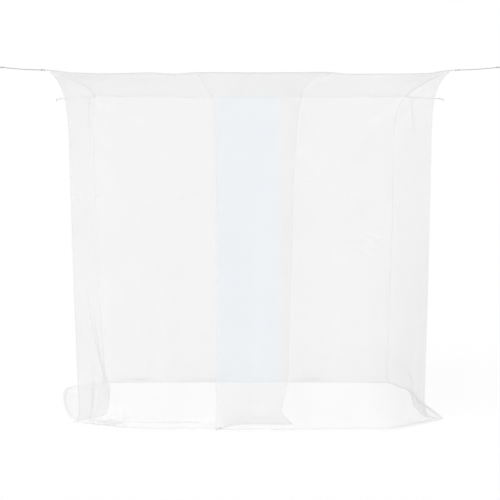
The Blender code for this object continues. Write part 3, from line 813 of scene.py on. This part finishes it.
def crumple(point, amount, bunched=0.0):  # small soft creases that grow towards the floor
    low = 1.0 - easeStep(0.02, creases["highest"], point.z)
    if low <= 0.0:
        return point
    (often, wide), (oftener, narrow), (oftenest, sharp) = (creases[kind] for kind in ("coarse", "fine", "tight"))
    coarse = noise.noise_vector(point * often + Vector((3.1, 7.7, 1.3)))
    fine = noise.noise_vector(point * oftener + Vector((11.0, 2.0, 5.0)))
    raised = easeStep(0.003, 0.022, point.z)
    move = (coarse * wide + fine * narrow) * low * amount * mixValue(0.5, 1.0, raised)
    if bunched > 0.01:
        tight = noise.noise_vector(point * oftenest + Vector((5.0, 1.0, 9.0)))
        move += (tight * sharp + coarse * creases["bunched"]) * bunched * raised * (1.0 - easeStep(0.04, 0.15, point.z))
    return Vector((point.x + move.x, point.y + move.y, max(point.z + abs(move.z) * 0.9, clothLift)))


def bunchAt(bunch, place):  # how tightly the cloth is crumpled at a place along its foot
    return bunch["amount"] * hump(bunch["at"], bunch["width"], place) if bunch else 0.0


pull = {"farthest": 1.4, "near": 0.12, "fade": 0.30, "rays": 17.0, "wall": 0.0035, "door": 0.003, "roof": 0.0045}


def tensionFold(across, drop, kind):  # creases that fan out from a pulled corner
    far = hypot(across, drop)
    if far < 1e-6 or far > pull["farthest"]:
        return 0.0
    angle = atan2(drop, across)
    fade = (far / pull["near"]) * exp(-far / pull["fade"]) * sin(2.0 * angle) ** 2
    return pull[kind] * fade * sin(pull["rays"] * angle + 3.0 * far)


def sheetObject(name, rows, width, material, outward):
    # a single surface through rows of points, its map in metres of flat cloth
    count = len(rows[0])
    verts = [point for row in rows for point in row]
    down = pathLengths([row[count // 2] for row in rows])
    faces, uvs = [], []

    def place(row, column):  # where a point lies on the flat cloth, whose meshes run a little unevenly
        across, low = width * column / (count - 1), -down[row]
        return (across + 0.006 * sin(9.0 * low + 4.0 * across), low + 0.006 * sin(11.0 * across + 5.0 * low))

    for row in range(len(rows) - 1):
        for column in range(count - 1):
            a = row * count + column
            faces.append((a, a + count, a + count + 1, a + 1))
            uvs.append([place(row, column), place(row + 1, column), place(row + 1, column + 1), place(row, column + 1)])
    a, b, c = (verts[number] for number in faces[len(faces) // 3][:3])
    if (b - a).cross(c - b).dot(Vector(outward)) < 0.0:
        faces = [face[::-1] for face in faces]
        uvs = [four[::-1] for four in uvs]
    return meshObject(name, verts, faces, uvs, material)


clothGrid = {"hanging": 84, "foot": 5, "columns": 168, "roof": (150, 130)}


def hangingHeights():  # rows lie closer under the roof, where the corners are pulled
    count = clothGrid["hanging"]
    return [roofHeight * mixValue(1.0, footStart / roofHeight, (step / count) ** 1.25) for step in range(count + 1)]


def footColumn(base, way, line, swings=None):  # the foot below one point of the cloth's lowest hanging row
    column = []
    for index, p in enumerate(line):
        swing = swings[index] if swings else 0.0
        column.append(Vector((base.x + way.x * p.x + swing, base.y + way.y * p.x, p.y * base.z / footStart)))
    return column


def rollNoise(base):  # the rolls differ along the foot
    return noise.noise(Vector((base.x * 5.0, base.y * 5.0, 2.0)))


def wallGrid(wall, columns):
    start, end = (corners[name] for name in wall["ends"])
    rows = []
    for rowHeight in hangingHeights():
        chord = (seamPlan(end, rowHeight) - seamPlan(start, rowHeight)).length
        row = []
        for column in range(columns + 1):
            share = column / columns
            top = roofEdge(wall, share).z
            z = top * rowHeight / roofHeight
            drop = top - z
            pulled = tensionFold(share * chord, drop, "wall") + tensionFold((1.0 - share) * chord, drop, "wall")
            place = Vector((share * chord + 5.0, wall["folds"]["phase"], z * 0.7))
            soft = 0.006 * noise.noise(place * 2.2) + 0.0008 * noise.noise(place * 11.0)
            fade = easeStep(0.0, 0.05, min(share, 1.0 - share)) * easeStep(0.0, 0.12, drop)
            out = foldDepth(wall, share, z) + (pulled + soft) * fade
            row.append(Vector((*(wallPlan(wall, share, z) + wall["outward"] * out), z)))
        rows.append(row)
    foot = []
    for column, base in enumerate(rows[-1]):
        share = column / columns
        near = easeStep(0.0, 0.10, min(share, 1.0 - share))
        seam = start if share < 0.5 else end
        way = seam["outward"].lerp(wall["outward"], near).normalized()
        shape = shapeAt(wall["shape"], share, near, seam["flare"])
        shape["rolled"] += wall["crumple"] * 0.5 * near * rollNoise(base)
        line = seamPlan(start, base.z).lerp(seamPlan(end, base.z), share)
        strayed = (base.xy - line).dot(wall["outward"])
        reach = mixValue(seam["reach"], curveList(wall["skirt"], share) - strayed, near)
        snug = mixValue(1.0, wall["snug"], near)
        foot.append(footColumn(base, way, footLine(reach, shape, curveList(wall["curl"], share), snug)))
    rows += [list(line) for line in zip(*foot)]
    return [[crumple(p, wall["crumple"], bunchAt(wall.get("bunch"), p.y)) for p in row] for row in rows]


foldTop = 1.75  # the height at which a door's fold line meets its free edge
driftStart = 0.24  # below the roof, where a free edge starts to drift sideways
doors = {
    "left": {
        "corner": "front_left",
        "side": -1.0,
        "area": 2.63,
        "edge": 0.250,
        "swoop": [(0.170, 0.035), (0.055, 0.20)],
        "drift": 0.026,
        "flare": 0.050,
        "turn": (0.3, 1.0),
        "flapReach": [0.055, 0.060, 0.060, 0.058, 0.052, 0.042, -0.11, -0.15, -0.15, -0.145, -0.10],
        "foldFoot": Vector((-0.62, -0.97019, 0.035)),
        "shape": {
            "rolled": [0.4, 1.6, 0.6, 0.4, 0.4, 0.3, 0.2],
            "folded": [0.2, 0.2, 0.2, 0.5, 0.8, 0.87, 0.9, 0.9, 0.1, 0.1, 0.1, 0.05, 0.0],
            "tall": [1.0, 1.5, 1.15, 1.15, 1.15, 1.0, 1.0],
        },
        "bunch": {"at": -0.78, "width": 0.12, "amount": 1.2},
        "pleats": [
            {"x": -0.87, "cloth": 0.13, "turn": 1.7, "top": 0.52},
            {"x": -0.72, "cloth": 0.08, "turn": 0.5, "top": 0.22},
        ],
    },
    "right": {
        "corner": "front_right",
        "side": 1.0,
        "area": 2.57,
        "edge": -0.184,
        "swoop": [(-0.112, 0.11)],
        "drift": 0.0,
        "flare": 0.0,
        "turn": (0.0, 0.7),
        "flapReach": [0.03, 0.035, 0.06, 0.082, 0.085],
        "foldFoot": Vector((0.62, -0.99981, 0.035)),
        "shape": {
            "rolled": [0.3, 0.3, 0.1, 0.0, 0.0, 0.0, 0.0],
            "folded": [0.6, 0.6, 0.0, 0.0, 0.0, 0.0, 0.0],
            "flared": [0.3, 0.0, 0.0, 0.0, 0.0, 0.0, 0.0, 0.0, 0.0],
            "tall": [1.6, 0.8, 1.0, 1.0, 1.0, 1.0],
        },
        "bunch": {"at": 0.93, "width": 0.07, "amount": 0.4},
        "pleats": [{"x": 0.958, "cloth": 0.05, "turn": 1.2, "top": 0.55}],
    },
}
panelOffset = {"top": 0.004, "low": 0.015}


def doorPlane(door, height):
    low = 1.0 - height / roofHeight
    return netSize["frontPlane"] - door["side"] * mixValue(panelOffset["top"], panelOffset["low"], low)


def freeEdge(door, height):
    drop = max(roofHeight - height, 0.0)
    extra = sum(width * exp(-drop / fade) for width, fade in door["swoop"])
    flare = door["flare"] * (max(1.0 - height / 0.08, 0.0) - 0.6 * hump(0.12, 0.09, height))
    return door["edge"] + extra + flare - door["drift"] * max(drop - driftStart, 0.0)


def doorDepth(door, x, height):
    seam = seamPlan(corners[door["corner"]], height)
    beyond = max(abs(x) - doorFlat, 0.0) / max(abs(seam.x) - doorFlat, 0.01)
    share = min(beyond, 1.0) ** 2.2 if x * door["side"] > 0.0 else 0.0
    depth = mixValue(doorPlane(door, height), seam.y, share)
    return mixValue(frontEdge(x).y, depth, easeStep(0.0, 0.06, roofHeight - height))


# the doors' upright ripples: how far the cloth turns, how far down they take to grow, and their length
ripples = {
    "broad": {"turn": 0.085, "grows": 0.6, "length": 0.31},
    "fine": {"turn": 0.05, "grows": 1.0, "length": 0.143},
}


def doorSlopes(door, columns, height, width):  # how far the cloth turns from the front, along one row
    drop = roofHeight - height
    share = (np.arange(columns) + 0.5) / columns
    x = seamPlan(corners[door["corner"]], height).x - door["side"] * share * width
    ends = np.clip(share / 0.06, 0.0, 1.0) * np.clip((1.0 - share) / 0.06, 0.0, 1.0)
    broad, fine, side = ripples["broad"], ripples["fine"], door["side"]
    soft = broad["turn"] * (1.0 - exp(-drop / broad["grows"])) * np.cos(2.0 * pi * x / broad["length"] + side)
    soft += fine["turn"] * (1.0 - exp(-drop / fine["grows"])) * np.sin(2.0 * pi * x / fine["length"] + 2.0 * side)
    slopes = soft * ends
    for pleat in door["pleats"]:
        grown = 1.0 - easeStep(0.10, pleat["top"], height)
        place = (x - pleat["x"]) / (0.5 * pleat["cloth"])
        window = np.clip(1.0 - np.abs(place), 0.0, 1.0)
        slopes += pleat["turn"] * grown * np.sin(pi * place) * np.sqrt(window)
    return slopes


def doorGrid(door, columns):
    here, side = corners[door["corner"]], door["side"]
    rows = []
    for rowHeight in hangingHeights():
        seam = here["top"].xy
        for step in range(6):  # the row and the seam meet where both have the same height
            seam = seamPlan(here, frontEdge(seam.x).z * rowHeight / roofHeight)
        width = abs(freeEdge(door, rowHeight) - seam.x)
        row = []
        for share, offset in zip(*foldRow(doorSlopes(door, columns, rowHeight, width), width)):
            x = seam.x - side * share * width
            top = frontEdge(x).z
            z = top * rowHeight / roofHeight
            pulled = tensionFold(share * width, top - z, "door") * easeStep(0.0, 0.05, share)
            soft = 0.003 * noise.noise(Vector((x * 2.0, side * 3.0, z * 1.5)))
            fade = easeStep(0.0, 0.04, share) * easeStep(0.0, 0.10, top - z)
            row.append(Vector((x, doorDepth(door, x, z) - (offset + soft * fade + pulled * fade), z)))
        rows.append(row)
    foot = []
    seamX, edgeX, foldX = rows[-1][0].x, rows[-1][-1].x, door["foldFoot"].x
    for base in rows[-1]:
        way = Vector((0.0, -1.0))
        if (base.x - foldX) * side >= 0.0:
            share = min(max((abs(base.x) - doorFlat) / max(abs(seamX) - doorFlat, 0.01), 0.0), 1.0)
            way = way.lerp(here["outward"], easeStep(*door["turn"], share)).normalized()
            reach = mixValue(door["flapReach"][0], here["reach"], easeStep(0.0, 1.0, share))
        else:
            reach = curveList(door["flapReach"], abs(base.x - foldX) / abs(freeEdge(door, 0.0) - foldX))
        whole = abs(base.x - seamX) / abs(edgeX - seamX)
        near = easeStep(0.0, 0.06, whole)
        shape = shapeAt(door["shape"], whole, near, here["flare"])
        shape["rolled"] += 0.4 * near * rollNoise(base)
        line = footLine(reach, shape, 0.0, 1.0, 0.005 * easeStep(0.0, 0.03, reach))
        swings = [(freeEdge(door, p.y) - freeEdge(door, footStart)) * easeStep(0.80, 1.0, whole) for p in line]
        foot.append(footColumn(base, way, line, swings))
    rows += [list(line) for line in zip(*foot)]
    return [[crumple(p, 0.45, bunchAt(door["bunch"], p.x)) for p in row] for row in rows]


def roofGrid(columns, depthRows):
    rear = walls["rear"]
    rows = []
    for row in range(depthRows + 1):
        v = row / depthRows
        west, east = roofEdge(walls["left"], 1.0 - v), roofEdge(walls["right"], v)
        line = []
        for column in range(columns + 1):
            u = column / columns
            south, north = frontEdge(mixValue(-frontHalf, frontHalf, u)), roofEdge(rear, 1.0 - u)
            frontLine = frontEdge(-frontHalf).lerp(frontEdge(frontHalf), u)
            rearLine = roofEdge(rear, 1.0).lerp(roofEdge(rear, 0.0), u)
            point = west.lerp(east, u) + south.lerp(north, v) - frontLine.lerp(rearLine, v)
            fade = easeStep(0.0, 0.03, min(u, 1.0 - u, v, 1.0 - v))
            pulled = 0.0
            for acrossShare, depthShare in ((u, v), (1.0 - u, v), (u, 1.0 - v), (1.0 - u, 1.0 - v)):
                pulled += tensionFold(acrossShare * 2.2, depthShare * 2.0, "roof")
            soft = 0.007 * noise.noise(Vector((point.x * 2.6, point.y * 2.6, 4.0)))
            soft += 0.0025 * noise.noise(Vector((point.x * 9.0, point.y * 7.0, 9.0)))
            point.z += (pulled + soft) * fade - netSize["roofSag"] * (archAt(u) * archAt(v)) ** 0.8
            line.append(point)
        rows.append(line)
    return rows


# Bands: tapes, hems and bindings, each a woven strip with a row of stitches down it


def addStitch(shape, start, stop, face, side, half=0.00028, rise=0.0004):
    verts, faces, uvs = shape
    base, middle = len(verts), start.lerp(stop, 0.5)
    verts += [start, middle + side * half, stop, middle - side * half, middle + face * rise]
    for three in ((1, 0, 4), (2, 1, 4), (3, 2, 4), (0, 3, 4)):
        faces.append(tuple(base + number for number in three))
        uvs.append([(0.0, 0.0)] * 3)


def paintThread(thing, threadFrom):  # the faces from threadFrom on are sewing thread
    thing.data.materials.append(materials["thread"])
    count = len(thing.data.polygons)
    thing.data.polygons.foreach_set("material_index", [0] * threadFrom + [1] * (count - threadFrom))


def bandFrames(path, ways):
    frames = []
    for index, way in enumerate(ways):
        along = alongAt(path, index)
        side = (way - along * way.dot(along)).normalized()
        frames.append((side, along.cross(side)))
    return frames


# stitchAt is where the stitches run: -0.5 is the band's inner edge, 0.5 its outer one
bands = {
    "tape": {"width": 0.008, "thickness": 0.0014, "stitchAt": -0.22},
    "hem": {"width": 0.020, "thickness": 0.0010, "stitchAt": -0.30},
    "loop": {"width": hanging["loopBand"], "thickness": hanging["loopThickness"], "stitchAt": -0.30, "stitchEvery": 4},
}
bandSides = 12
bandWaves = ((0.025, 260.0), (0.02, 97.0))  # how unevenly a band's outer edge runs: share of its width, and how often
stitchStep = 0.004
stitchLength = 0.74  # a stitch's share of its step


def bandShape(path, ways, width, thickness, stitchAt, stitchEvery=1):
    frames, lengths = bandFrames(path, ways), pathLengths(path)
    section = []
    for step in range(bandSides):
        turn = 2.0 * pi * step / bandSides
        wide, thick = abs(cos(turn)) ** 0.45 * sideOf(cos(turn)), abs(sin(turn)) ** 0.8 * sideOf(sin(turn))
        section.append((wide * width / 2.0, thick * thickness / 2.0))
    verts = []
    for centre, (side, face), walked in zip(path, frames, lengths):
        wave = sum(size * width * sin(walked * often) for size, often in bandWaves)
        for wide, thick in section:
            pulled = 1.0 - 0.30 * hump(stitchAt, 0.10, wide / width)
            grown = wide + (wave if wide > 0.0 else 0.3 * wave)
            verts.append(centre + side * grown + face * thick * pulled)
    faces, uvs = tubeFaces(len(path), bandSides, lambda ring, step: (lengths[ring], section[step % bandSides][0]))
    threadFrom = len(faces)
    for index in range(1, len(path) - 1 - stitchEvery, stitchEvery):
        side, face = frames[index]
        other = index + stitchEvery
        start = path[index] + side * stitchAt * width
        stop = start.lerp(path[other] + frames[other][0] * stitchAt * width, stitchLength)
        for way in (1.0, -1.0):
            lift = face * way * thickness * 0.36
            addStitch((verts, faces, uvs), start + lift, stop + lift, face * way, side * way)
    return verts, faces, uvs, threadFrom


def makeBand(name, path, ways, kind, material):
    verts, faces, uvs, threadFrom = bandShape(path, ways, **bands[kind])
    verts = [Vector((vert.x, vert.y, max(vert.z, 0.0002))) for vert in verts]
    middle = len(path) // 2
    a, b, c = (verts[bandSides * middle + number] for number in (0, 1, bandSides))
    if (b - a).cross(c - a).dot(a - path[middle]) < 0.0:  # the skin has to face outwards
        faces[:threadFrom] = [face[::-1] for face in faces[:threadFrom]]
        uvs[:threadFrom] = [four[::-1] for four in uvs[:threadFrom]]
    thing = meshObject(name, verts, faces, uvs, material)
    paintThread(thing, threadFrom)
    return thing


# Tapes lie just outside their seams; a corner's tape follows the seam down and then along the floor
tapeLine = {"out": 0.0030, "inset": 0.0035, "below": 0.006, "foot": 0.045, "lift": 0.0045, "alongFloor": 0.75}
# the side roof edges take the tapes painted grey: painted shade, darkest on the right
roofTapeKinds = {"left": "roofTape", "right": "paintedShadeRoofTape"}


def roofLine(name, share):
    return roofEdge(walls[name], share) if name in walls else frontEdge(mixValue(-frontHalf, frontHalf, share))


def roofTape(name):
    way = Vector((*(walls[name]["outward"] if name in walls else (0.0, -1.0)), 0.5)).normalized()
    points = []
    for step in range(241):
        share = mixValue(tapeLine["inset"], 1.0 - tapeLine["inset"], step / 240)
        points.append(roofLine(name, share) + way * tapeLine["out"])
    path = walkEvenly(points, stitchStep)
    tape = makeBand(f"roofTape{label(name)}", path, [way] * len(path), "tape", roofTapeKinds.get(name, "tape"))
    return finishRigid(tape, "root", "tape", f"roof_tape_{name}")


def cornerTape(name):
    here, foot = corners[name], tapeLine["foot"]
    way = Vector((*here["outward"], 0.0))
    points = []
    for step in range(200):
        high = mixValue(here["top"].z - tapeLine["below"], foot, step / 199.0)
        points.append(Vector((*seamPlan(here, high), high)) + way * tapeLine["out"])
    for step in range(1, 12):
        share = step / 11.0
        rise = foot * (1.0 - share) ** 2 + tapeLine["lift"]
        out = tapeLine["out"] + share * here["reach"] * tapeLine["alongFloor"]
        points.append(Vector((*seamPlan(here, foot), rise)) + way * out)
    path = walkEvenly(points, stitchStep)
    turned = []
    for index in range(len(path)):  # the tape's outer edge tips up where the seam lies down
        along = alongAt(path, index)
        flat = way - along * way.dot(along)
        turned.append(flat.normalized() if flat.length > 0.2 else Vector((0.0, 0.0, 1.0)))
    tape = makeBand(f"cornerTape{label(name)}", path, turned, "tape", "foldedNet")
    finishRigid(tape, "root", "tape", f"corner_tape_{name}")


def foldCloth(thing, name, slot, *nodes):
    door = doors[name]
    top = Vector((freeEdge(door, foldTop), doorPlane(door, foldTop), foldTop))
    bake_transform(thing)
    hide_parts(*nodes)
    return thing


def edgeLine(points, inner):
    # the sideways direction along an edge of cloth, away from the points just inside it, evened out a little
    ways = []
    for index, (point, inside) in enumerate(zip(points, inner)):
        along, way = alongAt(points, index), point - inside
        way -= along * way.dot(along)
        ways.append(way.normalized() if way.length > 1e-7 else Vector((0.0, -1.0, 0.0)))
    nothing = Vector((0.0, 0.0, 0.0))
    return [sum(ways[max(index - 2, 0) : index + 3], nothing).normalized() for index in range(len(ways))]


def makeHem(name, rows):
    points, lying = [], []
    for point, way in list(zip(rows[-1], edgeLine(rows[-1], rows[-4])))[1:-1]:
        point = point + way * 0.0005
        point.z = max(point.z - 0.0002, 0.0009)
        # both edges of the hem stay above the floor
        room = max(point.z - 0.0008, 0.0) * 2.0 / bands["hem"]["width"]
        dip = max(min(way.z, room), -room)
        points.append(point)
        lying.append(Vector((*(way.xy.normalized() * sqrt(max(1.0 - dip * dip, 0.0))), dip)))
    return makeBand(name, *walkEvenly(points, stitchStep, lying), "hem", "hem")


def makeBinding(name, rows):
    edge, inner = [row[-1] for row in rows[1:-2]], [row[-4] for row in rows[1:-2]]
    ways = edgeLine(edge, inner)
    points = [point + way * 0.0022 for point, way in zip(edge, ways)]
    return makeBand(name, *walkEvenly(points, stitchStep, ways), "tape", "foldedNet")


def makeWall(name, wall, tape):
    rows = wallGrid(wall, clothGrid["columns"])
    kind = "denseNet" if name == "rear" else "net"
    cloth = sheetObject(f"{name}Net", rows, wall["cut"], kind, (*wall["outward"], 0.0))
    finishRigid(cloth, "root", "netting", f"{name}_wall")
    hem = finishRigid(makeHem(f"{name}Hem", rows), "root", "hem", f"{name}_hem")


def makeDoor(name, door, tape):
    rows = doorGrid(door, clothGrid["columns"])
    cloth = sheetObject(f"{name}DoorNet", rows, 1.45, f"{name}DoorNet", (0.0, -1.0, 0.0))
    foldCloth(cloth, name, "netting", f"{name}_front_panel", f"{name}_door_flap")
    hem = foldCloth(makeHem(f"{name}DoorHem", rows), name, "hem", f"{name}_front_hem", f"{name}_door_hem")
    binding = makeBinding(f"{name}DoorBinding", rows)
    foldCloth(binding, name, "tape", f"{name}_upper_binding", f"{name}_door_binding")


def makeRoof():
    roof = sheetObject("roofNet", roofGrid(*clothGrid["roof"]), 2.2, "denseNet", (0.0, 0.0, 1.0))
    finishRigid(roof, "root", "netting", "roof_panel")


roofTapes = {name: roofTape(name) for name in (*walls, "front")}
for cornerName in corners:
    cornerTape(cornerName)
print("tapes made")
for wallName, wall in walls.items():
    makeWall(wallName, wall, roofTapes[wallName])
for doorName, door in doors.items():
    makeDoor(doorName, door, roofTapes["front"])
makeRoof()
print("cloth made")

# Hanging gear: webbing loops at the corners, stick-on hooks and their pads

# a leg of the loop, out from the corner and away from its middle plane; the bars of close stitches that hold both legs
loopLeg = ((-0.003, 0.0009), (0.003, 0.0008), (0.009, 0.0012), (0.016, 0.0030), (0.023, 0.0039))
loopBars = {"places": ((0.0045, 0.00135), (0.0105, 0.0021)), "half": 0.0026, "stitches": 15, "stitch": 0.0009}


def makeLoop(name):
    # one tape folded in two: its ends sewn into the corner, its bend round the cord's eye
    line = hangingLine(name)
    top, out = line["corner"]["top"], line["out"]
    across = Vector((-out.y, out.x, 0.0))
    up = Vector((0.0, 0.0, 1.0))
    radius = hanging["loopHeight"] / 2.0 - hanging["loopThickness"] / 2.0
    stop = hanging["loopLength"] - hanging["loopHeight"] / 2.0
    points = [top + out * along - up * rise for along, rise in loopLeg]
    for step in range(9):
        turn = radians(-90.0 + 180.0 * step / 8.0)
        points.append(top + out * (stop + radius * cos(turn)) + up * radius * sin(turn))
    points += [top + out * along + up * rise for along, rise in reversed(loopLeg)]
    path = walkEvenly(curveThrough(points, 8), 0.0011)
    *shape, threadFrom = bandShape(path, [across] * len(path), **bands["loop"])
    for along, rise in loopBars["places"]:
        for step in range(loopBars["stitches"]):
            wide = mixValue(-loopBars["half"], loopBars["half"], step / (loopBars["stitches"] - 1))
            for way in (1.0, -1.0):
                middle = top + out * along + across * wide + up * way * rise
                half = out * loopBars["stitch"]
                addStitch(shape, middle - half, middle + half, up * way, across * way, 0.00022)
    thing = meshObject(f"cornerLoop{label(name)}", *shape, "webbing")
    paintThread(thing, threadFrom)
    return finishRigid(thing, "root", "webbing", f"corner_loop_{name}")


def activate(thing):
    bpy.ops.object.select_all(action="DESELECT")
    thing.select_set(True)
    bpy.context.view_layer.objects.active = thing


def bakePlace(thing):
    activate(thing)
    bpy.ops.object.transform_apply(location=True, rotation=True, scale=True)


def editFaces(thing, chosen):
    # opens the mesh for editing with only the faces for which chosen is true
    activate(thing)
    bpy.ops.object.mode_set(mode="EDIT")
    bpy.ops.mesh.select_mode(type="FACE")
    bpy.ops.mesh.select_all(action="DESELECT")
    bpy.ops.object.mode_set(mode="OBJECT")
    for face in thing.data.polygons:
        face.select = chosen(face)
    bpy.ops.object.mode_set(mode="EDIT")


def useModifier(thing, kind, **values):
    activate(thing)
    modifier = thing.modifiers.new(kind.title(), kind)
    for label, value in values.items():
        setattr(modifier, label, value)
    bpy.ops.object.modifier_apply(modifier=modifier.name)


def uniteWith(thing, other):
    useModifier(thing, "BOOLEAN", operation="UNION", solver="EXACT", object=other)
    bpy.data.objects.remove(other, do_unlink=True)


def addDisc(radius, depth, place):  # a round disc that stands against the room wall
    bpy.ops.object.select_all(action="DESELECT")
    bpy.ops.mesh.primitive_cylinder_add(
        vertices=hookShape["sides"],
        radius=radius,
        depth=depth,
        location=place,
        rotation=(0.0, radians(90.0), 0.0),
    )
    bakePlace(bpy.context.object)
    return bpy.context.object


def roundEdges(thing, width, segments):
    useModifier(thing, "BEVEL", width=width, segments=segments, limit_method="ANGLE", angle_limit=radians(40.0))


def finishGear(thing, name, material, angle, slot, node):
    activate(thing)
    bpy.ops.object.shade_smooth_by_angle(angle=radians(angle))
    thing.name = name
    thing.data.materials.clear()
    thing.data.materials.append(materials[material])
    finishRigid(thing, "root", slot, node)


hookShape = {
    "sides": 72,
    "rimInset": 0.0022,
    "rimRise": 0.0005,
    "domeInset": 0.0050,
    "domeRise": 0.0003,
    "rimBevel": 0.0008,
    "collarRadius": 0.0046,
    "collarDepth": 0.0026,
    "armSides": 28,
    "bendSteps": 9,
    "tipLength": 0.0012,
    "tip": ((0.45, 0.93), (0.35, 0.80), (0.20, 0.60)),  # shares of the tip's length, and how much each step narrows
}
padShape = {"inset": 0.001, "bevel": 0.00016}


def makePlate(side, face):
    thickness = hanging["plateThickness"]
    plate = addDisc(hanging["plateRadius"], thickness, (face.x - side * thickness / 2.0, face.y, face.z))
    editFaces(plate, lambda polygon: polygon.normal.x * side < -0.9)
    for part in ("rim", "dome"):
        bpy.ops.mesh.inset(thickness=hookShape[f"{part}Inset"])
        bpy.ops.transform.translate(value=(-side * hookShape[f"{part}Rise"], 0.0, 0.0))
    bpy.ops.object.mode_set(mode="OBJECT")
    roundEdges(plate, hookShape["rimBevel"], 3)
    return plate


def extrudeBy(x, z):
    bpy.ops.mesh.extrude_region_move(TRANSFORM_OT_translate={"value": (x, 0.0, z)})


def makeArm(side, face, post):
    bend = hanging["armBend"]
    start = Vector((face.x - side * hanging["plateThickness"] * 0.5, face.y, face.z))
    turnX = post.x + side * bend
    bpy.ops.object.select_all(action="DESELECT")
    bpy.ops.mesh.primitive_circle_add(
        vertices=hookShape["armSides"],
        radius=hanging["armRadius"],
        fill_type="NGON",
        location=start,
        rotation=(0.0, radians(-90.0 * side), 0.0),
    )
    arm = bpy.context.object
    bakePlace(arm)
    editFaces(arm, lambda polygon: True)
    extrudeBy(turnX - start.x, 0.0)
    for step in range(hookShape["bendSteps"]):
        extrudeBy(0.0, 0.0)
        bpy.ops.transform.rotate(
            value=radians(-90.0 / hookShape["bendSteps"]) * side,
            orient_axis="Y",
            center_override=(turnX, post.y, face.z + bend),
        )
    extrudeBy(0.0, post.z + hanging["postRise"] - hookShape["tipLength"] - (face.z + bend))
    for share, size in hookShape["tip"]:
        extrudeBy(0.0, hookShape["tipLength"] * share)
        bpy.ops.transform.resize(value=(size, size, 1.0))
    bpy.ops.mesh.select_all(action="SELECT")
    bpy.ops.mesh.normals_make_consistent(inside=False)
    bpy.ops.object.mode_set(mode="OBJECT")
    return arm


def makeHook(name):
    line = hangingLine(name)
    side, post = line["side"], line["post"]
    drop = hanging["cordDiameter"] / 2.0 + hanging["touchGap"] + hanging["armRadius"] + hanging["armDrop"]
    face = Vector((side * (hanging["wallPlane"] - hanging["padThickness"]), post.y, post.z - drop))
    plate = makePlate(side, face)
    bpy.ops.object.select_all(action="DESELECT")
    bpy.ops.mesh.primitive_cone_add(
        vertices=hookShape["armSides"],
        radius1=hookShape["collarRadius"],
        radius2=hanging["armRadius"] * 1.02,
        depth=hookShape["collarDepth"],
        location=(face.x - side * (hanging["plateThickness"] + hookShape["collarDepth"] * 0.45), face.y, face.z),
        rotation=(0.0, radians(-90.0 * side), 0.0),
    )
    collar = bpy.context.object
    bakePlace(collar)
    uniteWith(plate, collar)
    uniteWith(plate, makeArm(side, face, post))
    finishGear(plate, f"wallHook{label(name)}", "plastic", 32.0, "hook_plastic", f"wall_hook_{name}")
    depth = hanging["padThickness"] - hanging["touchGap"]
    place = (side * (hanging["wallPlane"] - depth / 2.0), face.y, face.z)
    pad = addDisc(hanging["plateRadius"] - padShape["inset"], depth, place)
    roundEdges(pad, padShape["bevel"], 2)
    finishGear(pad, f"adhesivePad{label(name)}", "foam", 40.0, "pad_foam", f"adhesive_pad_{name}")


for cornerName in corners:
    makeLoop(cornerName)
    makeHook(cornerName)
print("loops, hooks and pads made")


# Floor, light and background


def seenShare(tree):  # 1 where the camera looks, straight or through a shiny or clear surface
    path = tree.nodes.new("ShaderNodeLightPath")
    seen = path.outputs["Is Camera Ray"]
    for other in ("Is Glossy Ray", "Is Transmission Ray"):
        seen = mathNode(tree, "MAXIMUM", seen, path.outputs[other])
    return seen


studio = {
    "world": 0.72,
    "keyStrength": 1.12,
    "keySpread": 35.0,
    "keyFrom": (-3.5, -5.5, 6.5),
    "floorGlow": 1.023,
    "floorShare": 0.85,
}


def makeFloor():
    bpy.ops.object.select_all(action="DESELECT")
    bpy.ops.mesh.primitive_plane_add(size=3000.0, location=(0.0, 0.0, 0.0))
    ground = bpy.context.object
    ground.name = "paleFloor"
    material = bpy.data.materials.new("paleFloor")
    material.use_nodes = True
    tree = material.node_tree
    tree.nodes.clear()
    result = tree.nodes.new("ShaderNodeOutputMaterial")
    diffuse = tree.nodes.new("ShaderNodeBsdfDiffuse")
    diffuse.inputs["Color"].default_value = (0.88, 0.88, 0.88, 1.0)
    glow = tree.nodes.new("ShaderNodeEmission")
    glow.inputs["Strength"].default_value = studio["floorGlow"]
    mix = tree.nodes.new("ShaderNodeMixShader")
    share = mathNode(tree, "MULTIPLY", seenShare(tree), studio["floorShare"])
    for value, socket in zip((share, diffuse.outputs[0], glow.outputs[0]), mix.inputs):
        feed(tree, value, socket)
    feed(tree, mix.outputs[0], result.inputs["Surface"])
    ground.data.materials.append(material)


def makeLight():
    world = bpy.data.worlds.new("whiteStudio")
    bpy.context.scene.world = world
    world.use_nodes = True
    tree = world.node_tree
    background = tree.nodes["Background"]
    background.inputs["Color"].default_value = (1.0, 1.0, 1.0, 1.0)
    feed(tree, mapNode(tree, seenShare(tree), 0.0, 1.0, studio["world"], 1.0), background.inputs["Strength"])
    data = bpy.data.lights.new("softKey", "SUN")
    data.energy = studio["keyStrength"]
    data.angle = radians(studio["keySpread"])
    key = placeObject("softKey", data)
    key.location = studio["keyFrom"]
    key.rotation_euler = (-key.location).to_track_quat("-Z", "Y").to_euler()


makeFloor()
makeLight()
bpy.context.scene.view_settings.view_transform = "Standard"
print("floor and light made")
